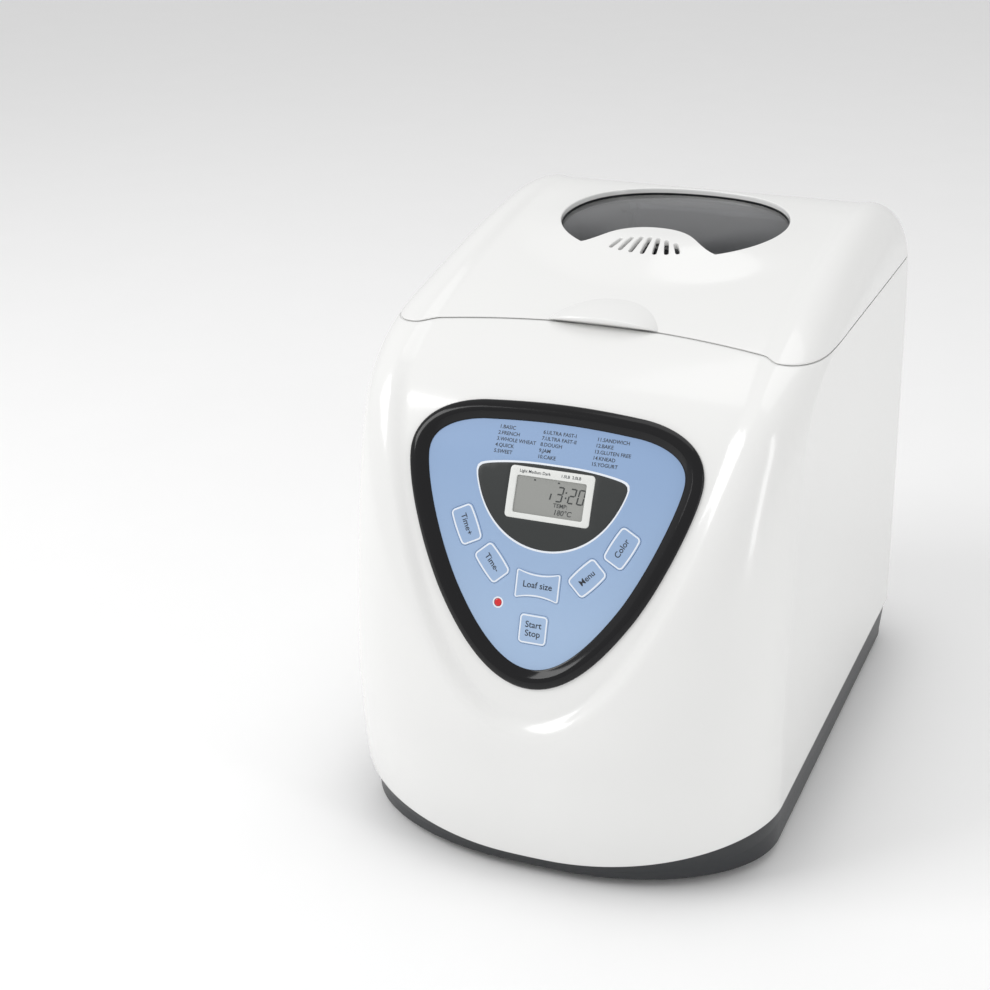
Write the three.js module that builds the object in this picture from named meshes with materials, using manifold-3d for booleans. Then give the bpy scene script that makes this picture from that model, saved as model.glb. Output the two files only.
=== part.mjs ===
// Bread machine with a hinged lid, a lift-out pan and a belt-driven kneading paddle.
// Millimetres, +Z up, front towards -Y, origin at the middle of the underside.
import * as THREE from "three";
import { mergeVertices } from "three/addons/utils/BufferGeometryUtils.js";
import Module from "manifold-3d";

const wasm = await Module();
wasm.setup();

// ---- driving dimensions ----------------------------------------------------
const WIDTH = 236;
const DEPTH = 346;
const HEIGHT = 298;
const WALL = 3; // casing wall
const GAP = 0.4; // between pieces that seat on each other
const RUNNING = 0.4; // around anything that turns or slides

const SEAM_DROP_FROM_TOP = 34; // lid seam at the middle, below the lid's top
const SEAM_ARCH = 5.4; // how far the seam falls from the middle to the flanks
const SEAM_GAP = 1;
const HINGE_SETBACK = 12.4; // casing's rear edge over the hinge, in front of the back face
const HINGE_RELIEF = 7; // room behind the lid for its corner to turn
const HINGE_PIN_R = 2;
const HINGE_X = 62; // middle of each hinge
const LUG_WIDTH = 4;
const LUG_TRIM = 3.5; // reach of the fixed eye, inside the turning lid's corner

const SHIELD_FOOT = 87; // height of the shield's lowest point
const SHIELD_HALF_WIDTH = 97.5; // on the lid
const SHIELD_EDGE = 8; // width of the soft step round the shield

const PANEL_LEAN = 22; // degrees back from vertical
const PANEL_DROP_FROM_TOP = 98; // display centre below the lid's top
const PANEL_SETBACK = 44.75; // display centre behind the front face
const BEZEL_HALF_WIDTH = 77.5;
const BEZEL_TOP = 45.3; // above the display centre, along the panel
const BEZEL_TIP = -96.5;
const BEZEL_RIM = 9.7; // width of the black ring
const BEZEL_STEPS = 5; // straight runs in each curve of its outline
const BEZEL_RISE = 2.2; // how far the ring stands proud
const FASCIA_SINK = 0.8;
const FASCIA_THICK = 2;
const FASCIA_LAP = 4; // fascia under the ring
const KEY_TRAVEL = 0.8;
const BUTTON_ROOM = 12; // between a pressed key and the control board
const KEY_CLEARANCE = 0.35;
const KEY_THICK = 2.4;
const FRAME_WIDTH = 45;
const FRAME_HEIGHT = 26;
const SCREEN_WIDTH = 37;
const SCREEN_HEIGHT = 18.5;
const LENS_HALF_WIDTH = 41;
const LENS_TOP = 15;
const LENS_BOTTOM = -27.3;
const LED_R = 2;
const LED_X = -20.4;
const LED_U = -56;

const CHAMBER_SETBACK = 117; // chamber and pan centre, in front of the back face
const WINDOW_BEHIND = 6; // window centre behind the chamber centre
const WINDOW_HALF_WIDTH = 65;
const WINDOW_HALF_DEPTH = 57;
const WINDOW_CORNER_X = 38;
const WINDOW_ARCH_RISE = 21;
const WINDOW_RAISE = 10; // how far the lid swells at the window's front
const SWELL_HALF_WIDTH = 92;
const SWELL_HALF_DEPTH = 76;
const SWELL_STEEPNESS = 1.66;
const SLOT_COUNT = 7;
const SLOT_PITCH = 5.8;
const SLOT_WIDTH = 2.5;
const SLOT_LENGTH = 15;
const SLOT_SHORTEN = 0.32; // taken off both ends, by the square of the place from the middle
const SLOT_FAN = 9; // degrees between neighbouring slots
const SLOT_SETBACK = 9; // slot centres behind the window's front
const GLASS_THICK = 3;
const GLASS_LAP = 5;
const LINER_DEPTH = 11;
const LINER_THICK = 1.2;

const TAB_HALF_WIDTH = 30;
const TAB_REACH = 8;
const TAB_THICK = 5.2;

const FOOT_HEIGHT = 5;
const FOOT_R = 11;
const FOOT_X = 70;
const FOOT_INSET = 60; // foot centres from the front and back faces
const BASE_WALL = 2.6;
const BASE_TOP = 46;
const BASE_TAPER = 10;
const BASE_RISE = 26; // height of its tapered part
const BASE_INSET = 0.8; // black skirt inside the casing's outer face
const SKIRT_TAPER = 3; // how far the black skirt draws in towards the underside
const SKIRT_Z = 13; // white casing's lower edge at the middle of the front
const SKIRT_ARCH = 17; // how much higher it is at the flanks

const CHASSIS_Z = 46;
const CHASSIS_THICK = 1.6;
const CHAMBER_HALF_X = 103;
const CHAMBER_HALF_Y = 83;
const CHAMBER_CORNER = 26;
const CHAMBER_WALL = 1.2;
const CHAMBER_FLOOR = 52;
const MOUTH_DROP = 18; // chamber mouth below the seam
const CHAMBER_FLANGE = 5;
const DECK_THICK = 2.5;

const PAN_ROOM_X = 13; // between the pan and the chamber
const PAN_ROOM_Y = 16;
const PAN_CORNER = 28;
const PAN_WALL = 1.6;
const PAN_DRAFT = 7; // how much narrower each side is at the bottom
const PAN_FLOOR = 74;
const PAN_RIM_DROP = 54; // pan rim below the chamber mouth
const PAN_RIM_WIDTH = 4;
const PAN_LUG_HEIGHT = 12;
const PAN_LUG_WIDTH = 16;
const BAIL_R = 2.2;
const BAIL_ABOVE_RIM = 6;
const BAIL_REACH = 69;
const RIVET_R = 2.4;
const PAN_FOOT_R = 42;
const PAN_FOOT_WALL = 2;

const SHAFT_R = 4;
const BUSH_WALL = 4;
const COUPLING_R = 15;
const DOG_LENGTH = 10;
const PADDLE_HUB_WALL = 4;
const PADDLE_HUB_HEIGHT = 24;
const PADDLE_REACH = 40;
const PADDLE_THICK = 7;

const PULLEY_R = 55;
const PULLEY_THICK = 9;
const PULLEY_Z = 24;
const MOTOR_PULLEY_R = 9;
const BELT_THICK = 2;
const BELT_WIDTH = 7;
const MOTOR_R = 36;
const MOTOR_HEIGHT = 62;
const MOTOR_SHAFT_R = 3;
const MOTOR_SETBACK = 88; // motor axis behind the front face

const HEATER_R = 3.2;
const HEATER_Z = 63;
const HEATER_INSET = 10;
const HEATER_BEND = 24;
const HEATER_LEG_X = 22;
const HEATER_LEG_LENGTH = 22;

const BOARD_THICK = 1.6;
const BOARD_HALF_WIDTH = 50;
const BOARD_HALF_HEIGHT = 44;
const BOARD_DROP = -16; // control board's middle, below the display centre
const MODULE_HEIGHT = 7;
const GLAND_R = 7;
const GLAND_X = 70;
const GLAND_Z = 62;

// ---- derived places ----------------------------------------------------------
const HALF = WIDTH / 2;
const FRONT = -DEPTH / 2;
const BACK = DEPTH / 2;
const CHAMBER_Y = BACK - CHAMBER_SETBACK;
const WINDOW_Y = CHAMBER_Y + WINDOW_BEHIND;
const HINGE_Y = BACK - HINGE_SETBACK;
const SEAM_Z = HEIGHT - SEAM_DROP_FROM_TOP;
const PANEL_Y = FRONT + PANEL_SETBACK;
const PANEL_Z = HEIGHT - PANEL_DROP_FROM_TOP;
const MOTOR_Y = FRONT + MOTOR_SETBACK;
const CENTRE_Z = HEIGHT / 2;
const CHAMBER_MOUTH = SEAM_Z - MOUTH_DROP;
const PAN_RIM = CHAMBER_MOUTH - PAN_RIM_DROP;
const PAN_HALF_X = CHAMBER_HALF_X - PAN_ROOM_X;
const PAN_HALF_Y = CHAMBER_HALF_Y - PAN_ROOM_Y;
const BUSH_R = SHAFT_R + BUSH_WALL;
const PADDLE_HUB_R = SHAFT_R + PADDLE_HUB_WALL;
const LID_BACK_Y = HINGE_Y - HINGE_RELIEF;

// ---- solids and meshes ---------------------------------------------------------
function toSolid(geometry, matrix) {
  const plain = geometry.index ? geometry.toNonIndexed() : geometry.clone();
  plain.deleteAttribute("normal");
  plain.deleteAttribute("uv");
  if (matrix) plain.applyMatrix4(matrix);
  const merged = mergeVertices(plain, 1e-4);
  const made = new wasm.Mesh({
    numProp: 3,
    vertProperties: merged.attributes.position.array,
    triVerts: new Uint32Array(merged.index.array),
  });
  return new wasm.Manifold(made);
}

function toGeometry(made) {
  const data = made.getMesh();
  const geometry = new THREE.BufferGeometry();
  geometry.setAttribute("position", new THREE.BufferAttribute(data.vertProperties, 3));
  geometry.setIndex(new THREE.BufferAttribute(data.triVerts, 1));
  geometry.computeVertexNormals();
  return geometry;
}

const machine = new THREE.Group();

function addPart(name, made, color, roughness, metalness) {
  const geometry = made.isBufferGeometry ? made : toGeometry(made);
  const material = new THREE.MeshStandardMaterial({ color, roughness, metalness });
  const part = new THREE.Mesh(geometry, material);
  part.name = name;
  machine.add(part);
  return part;
}

const WHITE = 0xf2f2f0;
const BLACK = 0x101011;
const CHARCOAL = 0x2e3030;
const STEEL = 0xb9bcc0;
const ALUMINIUM = 0xc6c8ca;
const COATING = 0x3a3b3d;
const BLUE = 0xa0b9dc;
const RUBBER = 0x1b1b1c;
const BOARD_GREEN = 0x2c5a3a;
const BRASS = 0xb08d4a;

const move = (x, y, z) => new THREE.Matrix4().makeTranslation(x, y, z);

function slab(shape, low, high, matrix, curveSegments = 8) {
  const depth = high - low;
  const geometry = new THREE.ExtrudeGeometry(shape, { depth, bevelEnabled: false, curveSegments });
  geometry.translate(0, 0, low);
  return toSolid(geometry, matrix);
}

function block(lowX, highX, lowY, highY, lowZ, highZ) {
  const geometry = new THREE.BoxGeometry(highX - lowX, highY - lowY, highZ - lowZ);
  return toSolid(geometry, move((lowX + highX) / 2, (lowY + highY) / 2, (lowZ + highZ) / 2));
}

function roundRect(halfX, halfY, corner) {
  const shape = new THREE.Shape();
  shape.moveTo(halfX, -halfY + corner);
  shape.absarc(halfX - corner, halfY - corner, corner, 0, Math.PI / 2);
  shape.absarc(-halfX + corner, halfY - corner, corner, Math.PI / 2, Math.PI);
  shape.absarc(-halfX + corner, -halfY + corner, corner, Math.PI, Math.PI * 1.5);
  shape.absarc(halfX - corner, -halfY + corner, corner, Math.PI * 1.5, Math.PI * 2);
  return shape;
}

// A turned piece: profile points are radius and height, from the axis round to the axis.
function turned(profile, segments, matrix) {
  const points = profile.map(([r, z]) => new THREE.Vector2(r, z));
  const geometry = new THREE.LatheGeometry(points, segments);
  geometry.rotateX(Math.PI / 2);
  return toSolid(geometry, matrix);
}

const rod = (r, low, high, segments, matrix) =>
  turned([[0, low], [r, low], [r, high], [0, high]], segments, matrix);

const ring = (inner, outer, low, high, segments, matrix) =>
  turned([[inner, low], [outer, low], [outer, high], [inner, high], [inner, low]], segments, matrix);

// ---- the hood: one surface that every casing piece is cut from -------------------
// Each rib is a point of the side profile, from the front foot over the lid to the back foot:
// y, z, half width of its flat middle, depth of its rounded edge, depth of the shield there.
const RIBS = [
  [FRONT + 5, 8, 12, 66, 0],
  [FRONT + 0.7, (HEIGHT - 222) / 2, 12, 66, 0],
  [FRONT, HEIGHT - 234, 14, 66, 3],
  [FRONT + 0.9, HEIGHT - 211, 21, 65, 4.5],
  [FRONT + 7, HEIGHT - 186, 34, 62, 5],
  [FRONT + 15.5, HEIGHT - 161, 50, 58, 4.5],
  [FRONT + 23.5, HEIGHT - 141, 64, 54, 4],
  [FRONT + 32.5, HEIGHT - 120, 76, 49, 3],
  [FRONT + 42.5, HEIGHT - 98, 85, 44, 2.5],
  [FRONT + 54.5, HEIGHT - 77, 91, 36, 2],
  [FRONT + 70, HEIGHT - 57.5, 95, 27, 2],
  [FRONT + 93, HEIGHT - 42.5, 96.5, 18, 2],
  [FRONT + 119.5, HEIGHT - 32, 97.5, 14, 2],
  [BACK - 193, HEIGHT - 22.5, 97.5, 18, 2],
  [BACK - 153, HEIGHT - 13.5, 97.5, 22, 2],
  [BACK - 113, HEIGHT - 6.5, 97.5, 25, 2],
  [BACK - 76, HEIGHT - 3, 97.5, 26, 1.5],
  [BACK - 45, HEIGHT - 5.5, 97, 27, 0.8],
  [BACK - 21, HEIGHT - 17, 96, 28, 0],
  [BACK - 6, HEIGHT - 38, 94, 30, 0],
  [BACK - 1, HEIGHT - 70, 90, 30, 0],
  [BACK, HEIGHT - 120, 88, 30, 0],
  [BACK, (HEIGHT - 112) / 2, 88, 30, 0],
  [BACK - 1, 8, 88, 30, 0],
];
const ROWS = 36;
const FLAT_STEPS = 6;
const ROUND_STEPS = 4;

const pairCurve = (i, j) =>
  new THREE.SplineCurve(RIBS.map((rib) => new THREE.Vector2(rib[i], rib[j])));
const profileCurve = pairCurve(0, 1);
const edgeCurve = pairCurve(2, 3);
const sinkCurve = pairCurve(4, 4);

const smooth = (v) => {
  const c = Math.min(Math.max(v, 0), 1);
  return c * c * (3 - 2 * c);
};

// Distance inside the shield's outline: a parabola-like point at the foot, straight sides above.
function insideShield(x, z) {
  const h = z - SHIELD_FOOT;
  const side = SHIELD_HALF_WIDTH - Math.abs(x);
  const value = 80 * h - 0.13 * h * h - x * x;
  const slope = Math.hypot(2 * x, 80 - 0.26 * h);
  return h > 157 ? side : Math.min(side, value / slope);
}

// Swelling of the lid round its window, most at the front.
function swell(x, y, z) {
  if (z < CENTRE_Z) return 0;
  const across = Math.hypot(x / SWELL_HALF_WIDTH, (y - CHAMBER_Y) / SWELL_HALF_DEPTH);
  const frontness = smooth((CHAMBER_Y + 60 - y) / 130);
  return WINDOW_RAISE * frontness * smooth((1 - across) * SWELL_STEEPNESS);
}

function hoodPoint(t, column, inset) {
  const p = profileCurve.getPoint(t);
  const tangent = profileCurve.getTangent(t);
  const normal = new THREE.Vector2(-tangent.y, tangent.x);
  const [flat, round] = edgeCurve.getPoint(t).toArray();
  const sink = Math.max(sinkCurve.getPoint(t).x, 0);
  const steps = Math.abs(column);
  const turn = (Math.max(steps - FLAT_STEPS, 0) / ROUND_STEPS) * (Math.PI / 2);
  const along = Math.min(steps / FLAT_STEPS, 1) * flat + (HALF - inset - flat) * Math.sin(turn);
  const x = Math.sign(column) * along;
  const shape = round * (1 - Math.cos(turn));
  const step = sink * smooth(insideShield(x, p.y) / SHIELD_EDGE) - swell(x, p.x, p.y);
  const deep = inset + shape + step;
  return [x, p.x - normal.x * deep, p.y - normal.y * deep];
}

function hoodGeometry(inset, footZ) {
  const columns = FLAT_STEPS + ROUND_STEPS;
  const across = columns * 2 + 1;
  const positions = [];
  const index = [];
  for (let row = 0; row <= ROWS; row++) {
    for (let column = -columns; column <= columns; column++) {
      const point = hoodPoint(row / ROWS, column, inset);
      if (row === 0 || row === ROWS) point[2] = footZ;
      positions.push(...point);
    }
  }
  const at = (row, column) => row * across + column;
  for (let row = 0; row <= ROWS; row++) {
    const next = (row + 1) % (ROWS + 1);
    for (let column = 0; column < across - 1; column++) {
      const [a, b] = [at(row, column), at(row, column + 1)];
      const [c, d] = [at(next, column), at(next, column + 1)];
      index.push(a, b, c, b, d, c);
    }
  }
  const middle = positions.length / 3;
  positions.push(-HALF + inset, 0, CENTRE_Z, HALF - inset, 0, CENTRE_Z);
  for (let row = 0; row <= ROWS; row++) {
    const next = (row + 1) % (ROWS + 1);
    index.push(at(row, 0), at(next, 0), middle);
    index.push(at(next, across - 1), at(row, across - 1), middle + 1);
  }
  const geometry = new THREE.BufferGeometry();
  geometry.setAttribute("position", new THREE.Float32BufferAttribute(positions, 3));
  geometry.setIndex(index);
  return geometry;
}

const hoods = new Map();
function hood(inset) {
  if (!hoods.has(inset)) hoods.set(inset, toSolid(hoodGeometry(inset, inset > 0 ? -4 : 4)));
  return hoods.get(inset);
}

// The skin between two depths below the hood's surface.
const skin = (outer, inner) => hood(outer).subtract(hood(inner));

// Everything below (or above) the arched seam, as a block.
function seamSide(above, offset) {
  const shape = new THREE.Shape();
  const far = above ? HEIGHT + 60 : -60;
  shape.moveTo(-HALF - 20, far);
  for (let i = -12; i <= 12; i++) {
    const x = ((HALF + 20) * i) / 12;
    shape.lineTo(x, SEAM_Z - SEAM_ARCH * Math.min((x / HALF) ** 2, 1.4) + offset);
  }
  shape.lineTo(HALF + 20, far);
  const turn = new THREE.Matrix4().makeRotationX(Math.PI / 2);
  return slab(shape, -BACK - 60, -FRONT + 60, turn);
}

// The space the white casing leaves open above the base, its arched top lowered by a gap.
function skirtCut(gap = 0) {
  const shape = new THREE.Shape();
  shape.moveTo(-HALF - 20, -60);
  for (let i = -10; i <= 10; i++) {
    const x = ((HALF + 20) * i) / 10;
    shape.lineTo(x, SKIRT_Z - gap + SKIRT_ARCH * Math.min((x / HALF) ** 2, 1));
  }
  shape.lineTo(HALF + 20, -60);
  const turn = new THREE.Matrix4().makeRotationX(Math.PI / 2);
  return slab(shape, -BACK - 60, -FRONT + 60, turn);
}

// ---- control panel outlines, in the panel's own plane (x across, u up) ------------
const lean = THREE.MathUtils.degToRad(PANEL_LEAN);
const panelNormal = new THREE.Vector3(0, -Math.cos(lean), Math.sin(lean));
const panelUp = new THREE.Vector3(0, Math.sin(lean), Math.cos(lean));
const panelFrame = new THREE.Matrix4()
  .makeBasis(new THREE.Vector3(1, 0, 0), panelUp, panelNormal)
  .setPosition(0, PANEL_Y, PANEL_Z);

// A triangle standing on its tip, with bulging sides and round corners, drawn in by inset.
function shieldOutline(inset) {
  const w = BEZEL_HALF_WIDTH;
  const top = BEZEL_TOP;
  const tip = BEZEL_TIP;
  const shape = new THREE.Shape();
  shape.moveTo(0, tip);
  shape.bezierCurveTo(w * 0.253, tip, w * 0.462, tip + 17.2, w * 0.645, tip + 39);
  shape.bezierCurveTo(w * 0.815, tip + 59.1, w, top - 44.7, w, top - 30.3);
  shape.bezierCurveTo(w, top - 13.3, w * 0.8, top - 4.3, w * 0.55, top - 2);
  shape.quadraticCurveTo(w * 0.25, top, 0, top);
  shape.quadraticCurveTo(-w * 0.25, top, -w * 0.55, top - 2);
  shape.bezierCurveTo(-w * 0.8, top - 4.3, -w, top - 13.3, -w, top - 30.3);
  shape.bezierCurveTo(-w, top - 44.7, -w * 0.815, tip + 59.1, -w * 0.645, tip + 39);
  shape.bezierCurveTo(-w * 0.462, tip + 17.2, -w * 0.253, tip, 0, tip);
  return drawnIn(shape.getPoints(BEZEL_STEPS).slice(1), inset);
}

// A counter-clockwise outline moved inwards, square to its own run.
function drawnIn(points, inset) {
  const count = points.length;
  const moved = points.map((point, i) => {
    const run = points[(i + 1) % count].clone().sub(points[(i + count - 1) % count]).normalize();
    return new THREE.Vector2(point.x - run.y * inset, point.y + run.x * inset);
  });
  return new THREE.Shape(moved);
}

const panelPrism = (shape, segments = 5) => slab(shape, -40, 30, panelFrame, segments);

// Half-moon round the display: flat bowed top, round bottom.
function lensOutline(inset) {
  const w = LENS_HALF_WIDTH - inset;
  const shape = new THREE.Shape();
  shape.moveTo(-w, LENS_TOP - 4 - inset);
  shape.bezierCurveTo(-w * 0.86, LENS_BOTTOM + 11, -w * 0.42, LENS_BOTTOM + inset, 0, LENS_BOTTOM + inset);
  shape.bezierCurveTo(w * 0.42, LENS_BOTTOM + inset, w * 0.86, LENS_BOTTOM + 11, w, LENS_TOP - 4 - inset);
  shape.quadraticCurveTo(0, LENS_TOP + 4 - inset, -w, LENS_TOP - 4 - inset);
  return shape;
}

// Keys: centre on the panel, half sizes and tilt. The size key is waisted.
const KEYS = [
  { name: "key_time_up", x: -41.8, u: -19.8, halfX: 6, halfU: 9.8, tilt: 27 },
  { name: "key_time_down", x: -25.8, u: -36.8, halfX: 6, halfU: 9.4, tilt: 42 },
  { name: "key_size", x: -0.4, u: -44.7, halfX: 12, halfU: 7.8, tilt: 0, waist: 1.9 },
  { name: "key_menu", x: 25, u: -37, halfX: 6, halfU: 9.4, tilt: -42 },
  { name: "key_crust", x: 41, u: -20, halfX: 6, halfU: 9.8, tilt: -27 },
  { name: "key_start", x: -0.2, u: -66.6, halfX: 7.7, halfU: 7.6, tilt: 0 },
];
const KEY_CORNER = 2;

function keyOutline(key, grow) {
  const w = key.halfX + grow;
  const h = key.halfU + grow;
  const shape = key.waist ? new THREE.Shape() : roundRect(w, h, KEY_CORNER + grow);
  if (key.waist) {
    shape.moveTo(-w, h);
    shape.quadraticCurveTo(0, h - 2 * key.waist, w, h);
    shape.lineTo(w, -h);
    shape.quadraticCurveTo(0, -h + 2 * key.waist, -w, -h);
  }
  return shape;
}

function keyPrism(key, grow) {
  const place = new THREE.Matrix4()
    .makeRotationZ(THREE.MathUtils.degToRad(key.tilt))
    .setPosition(key.x, key.u, 0);
  return slab(keyOutline(key, grow), -40, 30, panelFrame.clone().multiply(place), 2);
}

const panelHole = (x, u, r, segments) =>
  rod(r, -40, 30, segments, panelFrame.clone().multiply(move(x, u, 0)));

// ---- lid window -----------------------------------------------------------------------
function windowShape(grow) {
  const a = WINDOW_HALF_WIDTH + grow;
  const b = WINDOW_HALF_DEPTH + grow;
  const corner = WINDOW_CORNER_X + grow;
  const start = Math.asin(corner / a);
  const shape = new THREE.Shape();
  const steps = 22;
  for (let i = 0; i <= steps; i++) {
    const turn = -Math.PI / 2 + start + ((Math.PI * 2 - start * 2) * i) / steps;
    const [x, y] = [a * Math.cos(turn), WINDOW_Y + b * Math.sin(turn)];
    if (i === 0) shape.moveTo(x, y);
    else shape.lineTo(x, y);
  }
  const foot = WINDOW_Y - b * Math.cos(start);
  const apex = foot + WINDOW_ARCH_RISE - grow;
  shape.bezierCurveTo(-corner * 0.62, foot + 3, -corner * 0.55, apex, 0, apex);
  shape.bezierCurveTo(corner * 0.55, apex, corner * 0.62, foot + 3, corner, foot);
  return shape;
}

function slotCuts() {
  const y = WINDOW_Y - WINDOW_HALF_DEPTH + SLOT_SETBACK;
  const cuts = [];
  for (let i = 0; i < SLOT_COUNT; i++) {
    const off = i - (SLOT_COUNT - 1) / 2;
    const reach = SLOT_LENGTH / 2 - SLOT_SHORTEN * off * off;
    const slot = block(-SLOT_WIDTH / 2, SLOT_WIDTH / 2, -reach, reach, CENTRE_Z, HEIGHT + 20);
    cuts.push(slot.rotate(0, 0, off * SLOT_FAN).translate(off * SLOT_PITCH, y, 0));
  }
  return cuts;
}

// ---- casing -----------------------------------------------------------------------------
// Height of the lid's top at its rear edge.
function lidBackZ() {
  let height = CENTRE_Z;
  for (let i = 0; i <= 400; i++) {
    const p = profileCurve.getPoint(0.5 + i / 800);
    if (p.x <= LID_BACK_Y) height = p.y;
  }
  return height;
}
const PIN_COVER = 1.4 * WALL + 2; // sloping lid wall and air above the pin
const HINGE_Z = lidBackZ() - PIN_COVER - HINGE_PIN_R;
const HINGE_AXIS_Y = LID_BACK_Y - HINGE_PIN_R;

function addBodyShell() {
  const rear = block(-HALF - 9, HALF + 9, HINGE_Y, BACK + 9, -9, HEIGHT + 9);
  const region = seamSide(false, 0).add(rear);
  const gland = rod(GLAND_R + GAP, -20, 20, 16, glandFrame());
  const shell = skin(0, WALL)
    .intersect(region)
    .subtract(skirtCut())
    .subtract(panelPrism(shieldOutline(BEZEL_RIM - FASCIA_LAP - GAP)))
    .subtract(gland);
  addPart("body_shell", shell, WHITE, 0.25, 0);
}

function glandFrame() {
  return new THREE.Matrix4().makeRotationX(-Math.PI / 2).setPosition(GLAND_X, BACK, GLAND_Z);
}

function addGland() {
  const profile = [[3.2, -14], [GLAND_R + 2, -14], [GLAND_R + 2, -WALL - 0.8], [GLAND_R, -WALL - 0.8]];
  profile.push([GLAND_R, -0.6], [3.2, -0.6], [3.2, -14]);
  addPart("cord_gland", turned(profile, 16, glandFrame()), BLACK, 0.6, 0);
}

function planRing(inset, z) {
  const points = [];
  for (let i = -10; i <= 10; i++) {
    const turn = (Math.PI / 2) * (i / 10);
    const x = Math.sign(i) * RIBS[0][2] + (HALF - inset - RIBS[0][2]) * Math.sin(turn);
    points.push([x, FRONT + inset + RIBS[0][3] * (1 - Math.cos(turn)), z]);
  }
  const flat = RIBS[RIBS.length - 1][2];
  const round = RIBS[RIBS.length - 1][3];
  for (const side of [1, -1]) {
    for (let i = 0; i <= 5; i++) {
      const turn = (Math.PI / 2) * ((side > 0 ? 5 - i : i) / 5);
      const x = side * (flat + (HALF - inset - flat) * Math.sin(turn));
      points.push([x, BACK - inset - round * (1 - Math.cos(turn)), z]);
    }
  }
  return points;
}

// A closed solid through plan rings at rising heights.
function loft(rings) {
  const positions = rings.flat(2);
  const n = rings[0].length;
  const index = [];
  for (let k = 0; k < rings.length - 1; k++) {
    for (let i = 0; i < n; i++) {
      const [a, b] = [k * n + i, k * n + ((i + 1) % n)];
      index.push(a, b, b + n, a, b + n, a + n);
    }
  }
  const base = positions.length / 3;
  const last = (rings.length - 1) * n;
  positions.push(0, 0, rings[0][0][2], 0, 0, rings[rings.length - 1][0][2]);
  for (let i = 0; i < n; i++) {
    const j = (i + 1) % n;
    index.push(j, i, base, last + i, last + j, base + 1);
  }
  const geometry = new THREE.BufferGeometry();
  geometry.setAttribute("position", new THREE.Float32BufferAttribute(positions, 3));
  geometry.setIndex(index);
  return toSolid(geometry);
}

const BASE_BOTTOM = FOOT_HEIGHT + GAP;
const FRONT_LEAN_IN = 5.5; // the casing's own draw-in near its foot

// The black skirt that shows below the casing's arched edge, tapering to the underside.
function baseSkirt(fit) {
  const outside = loft([
    planRing(SKIRT_TAPER, BASE_BOTTOM),
    planRing(0, BASE_BOTTOM + SKIRT_ARCH + SKIRT_Z),
    planRing(0, BASE_TOP),
  ]);
  const inside = loft([
    planRing(fit + BASE_TAPER, BASE_BOTTOM - 1),
    planRing(fit, BASE_BOTTOM + BASE_RISE),
    planRing(fit, BASE_TOP + 9),
  ]);
  return hood(BASE_INSET).intersect(outside).subtract(inside).intersect(skirtCut(GAP));
}

function addBase() {
  const fit = WALL + GAP + FRONT_LEAN_IN;
  const outer = loft([
    planRing(fit + BASE_TAPER, BASE_BOTTOM),
    planRing(fit, BASE_BOTTOM + BASE_RISE),
    planRing(fit, BASE_TOP - GAP),
  ]);
  const inner = loft([
    planRing(fit + BASE_TAPER + BASE_WALL, BASE_BOTTOM + BASE_WALL),
    planRing(fit + BASE_WALL, BASE_BOTTOM + BASE_RISE),
    planRing(fit + BASE_WALL, BASE_TOP + 9),
  ]);
  const tray = outer.add(baseSkirt(fit + BASE_WALL / 2)).subtract(inner);
  addPart("base_tray", tray, BLACK, 0.45, 0);
  const profile = [[0, 0], [FOOT_R - 1, 0], [FOOT_R, 1], [FOOT_R - 1.5, FOOT_HEIGHT], [0, FOOT_HEIGHT]];
  for (const [name, x, y] of [
    ["foot_front_left", -FOOT_X, FRONT + FOOT_INSET],
    ["foot_front_right", FOOT_X, FRONT + FOOT_INSET],
    ["foot_back_left", -FOOT_X, BACK - FOOT_INSET],
    ["foot_back_right", FOOT_X, BACK - FOOT_INSET],
  ]) {
    addPart(name, turned(profile, 16, move(x, y, 0)), RUBBER, 0.9, 0);
  }
}

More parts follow.
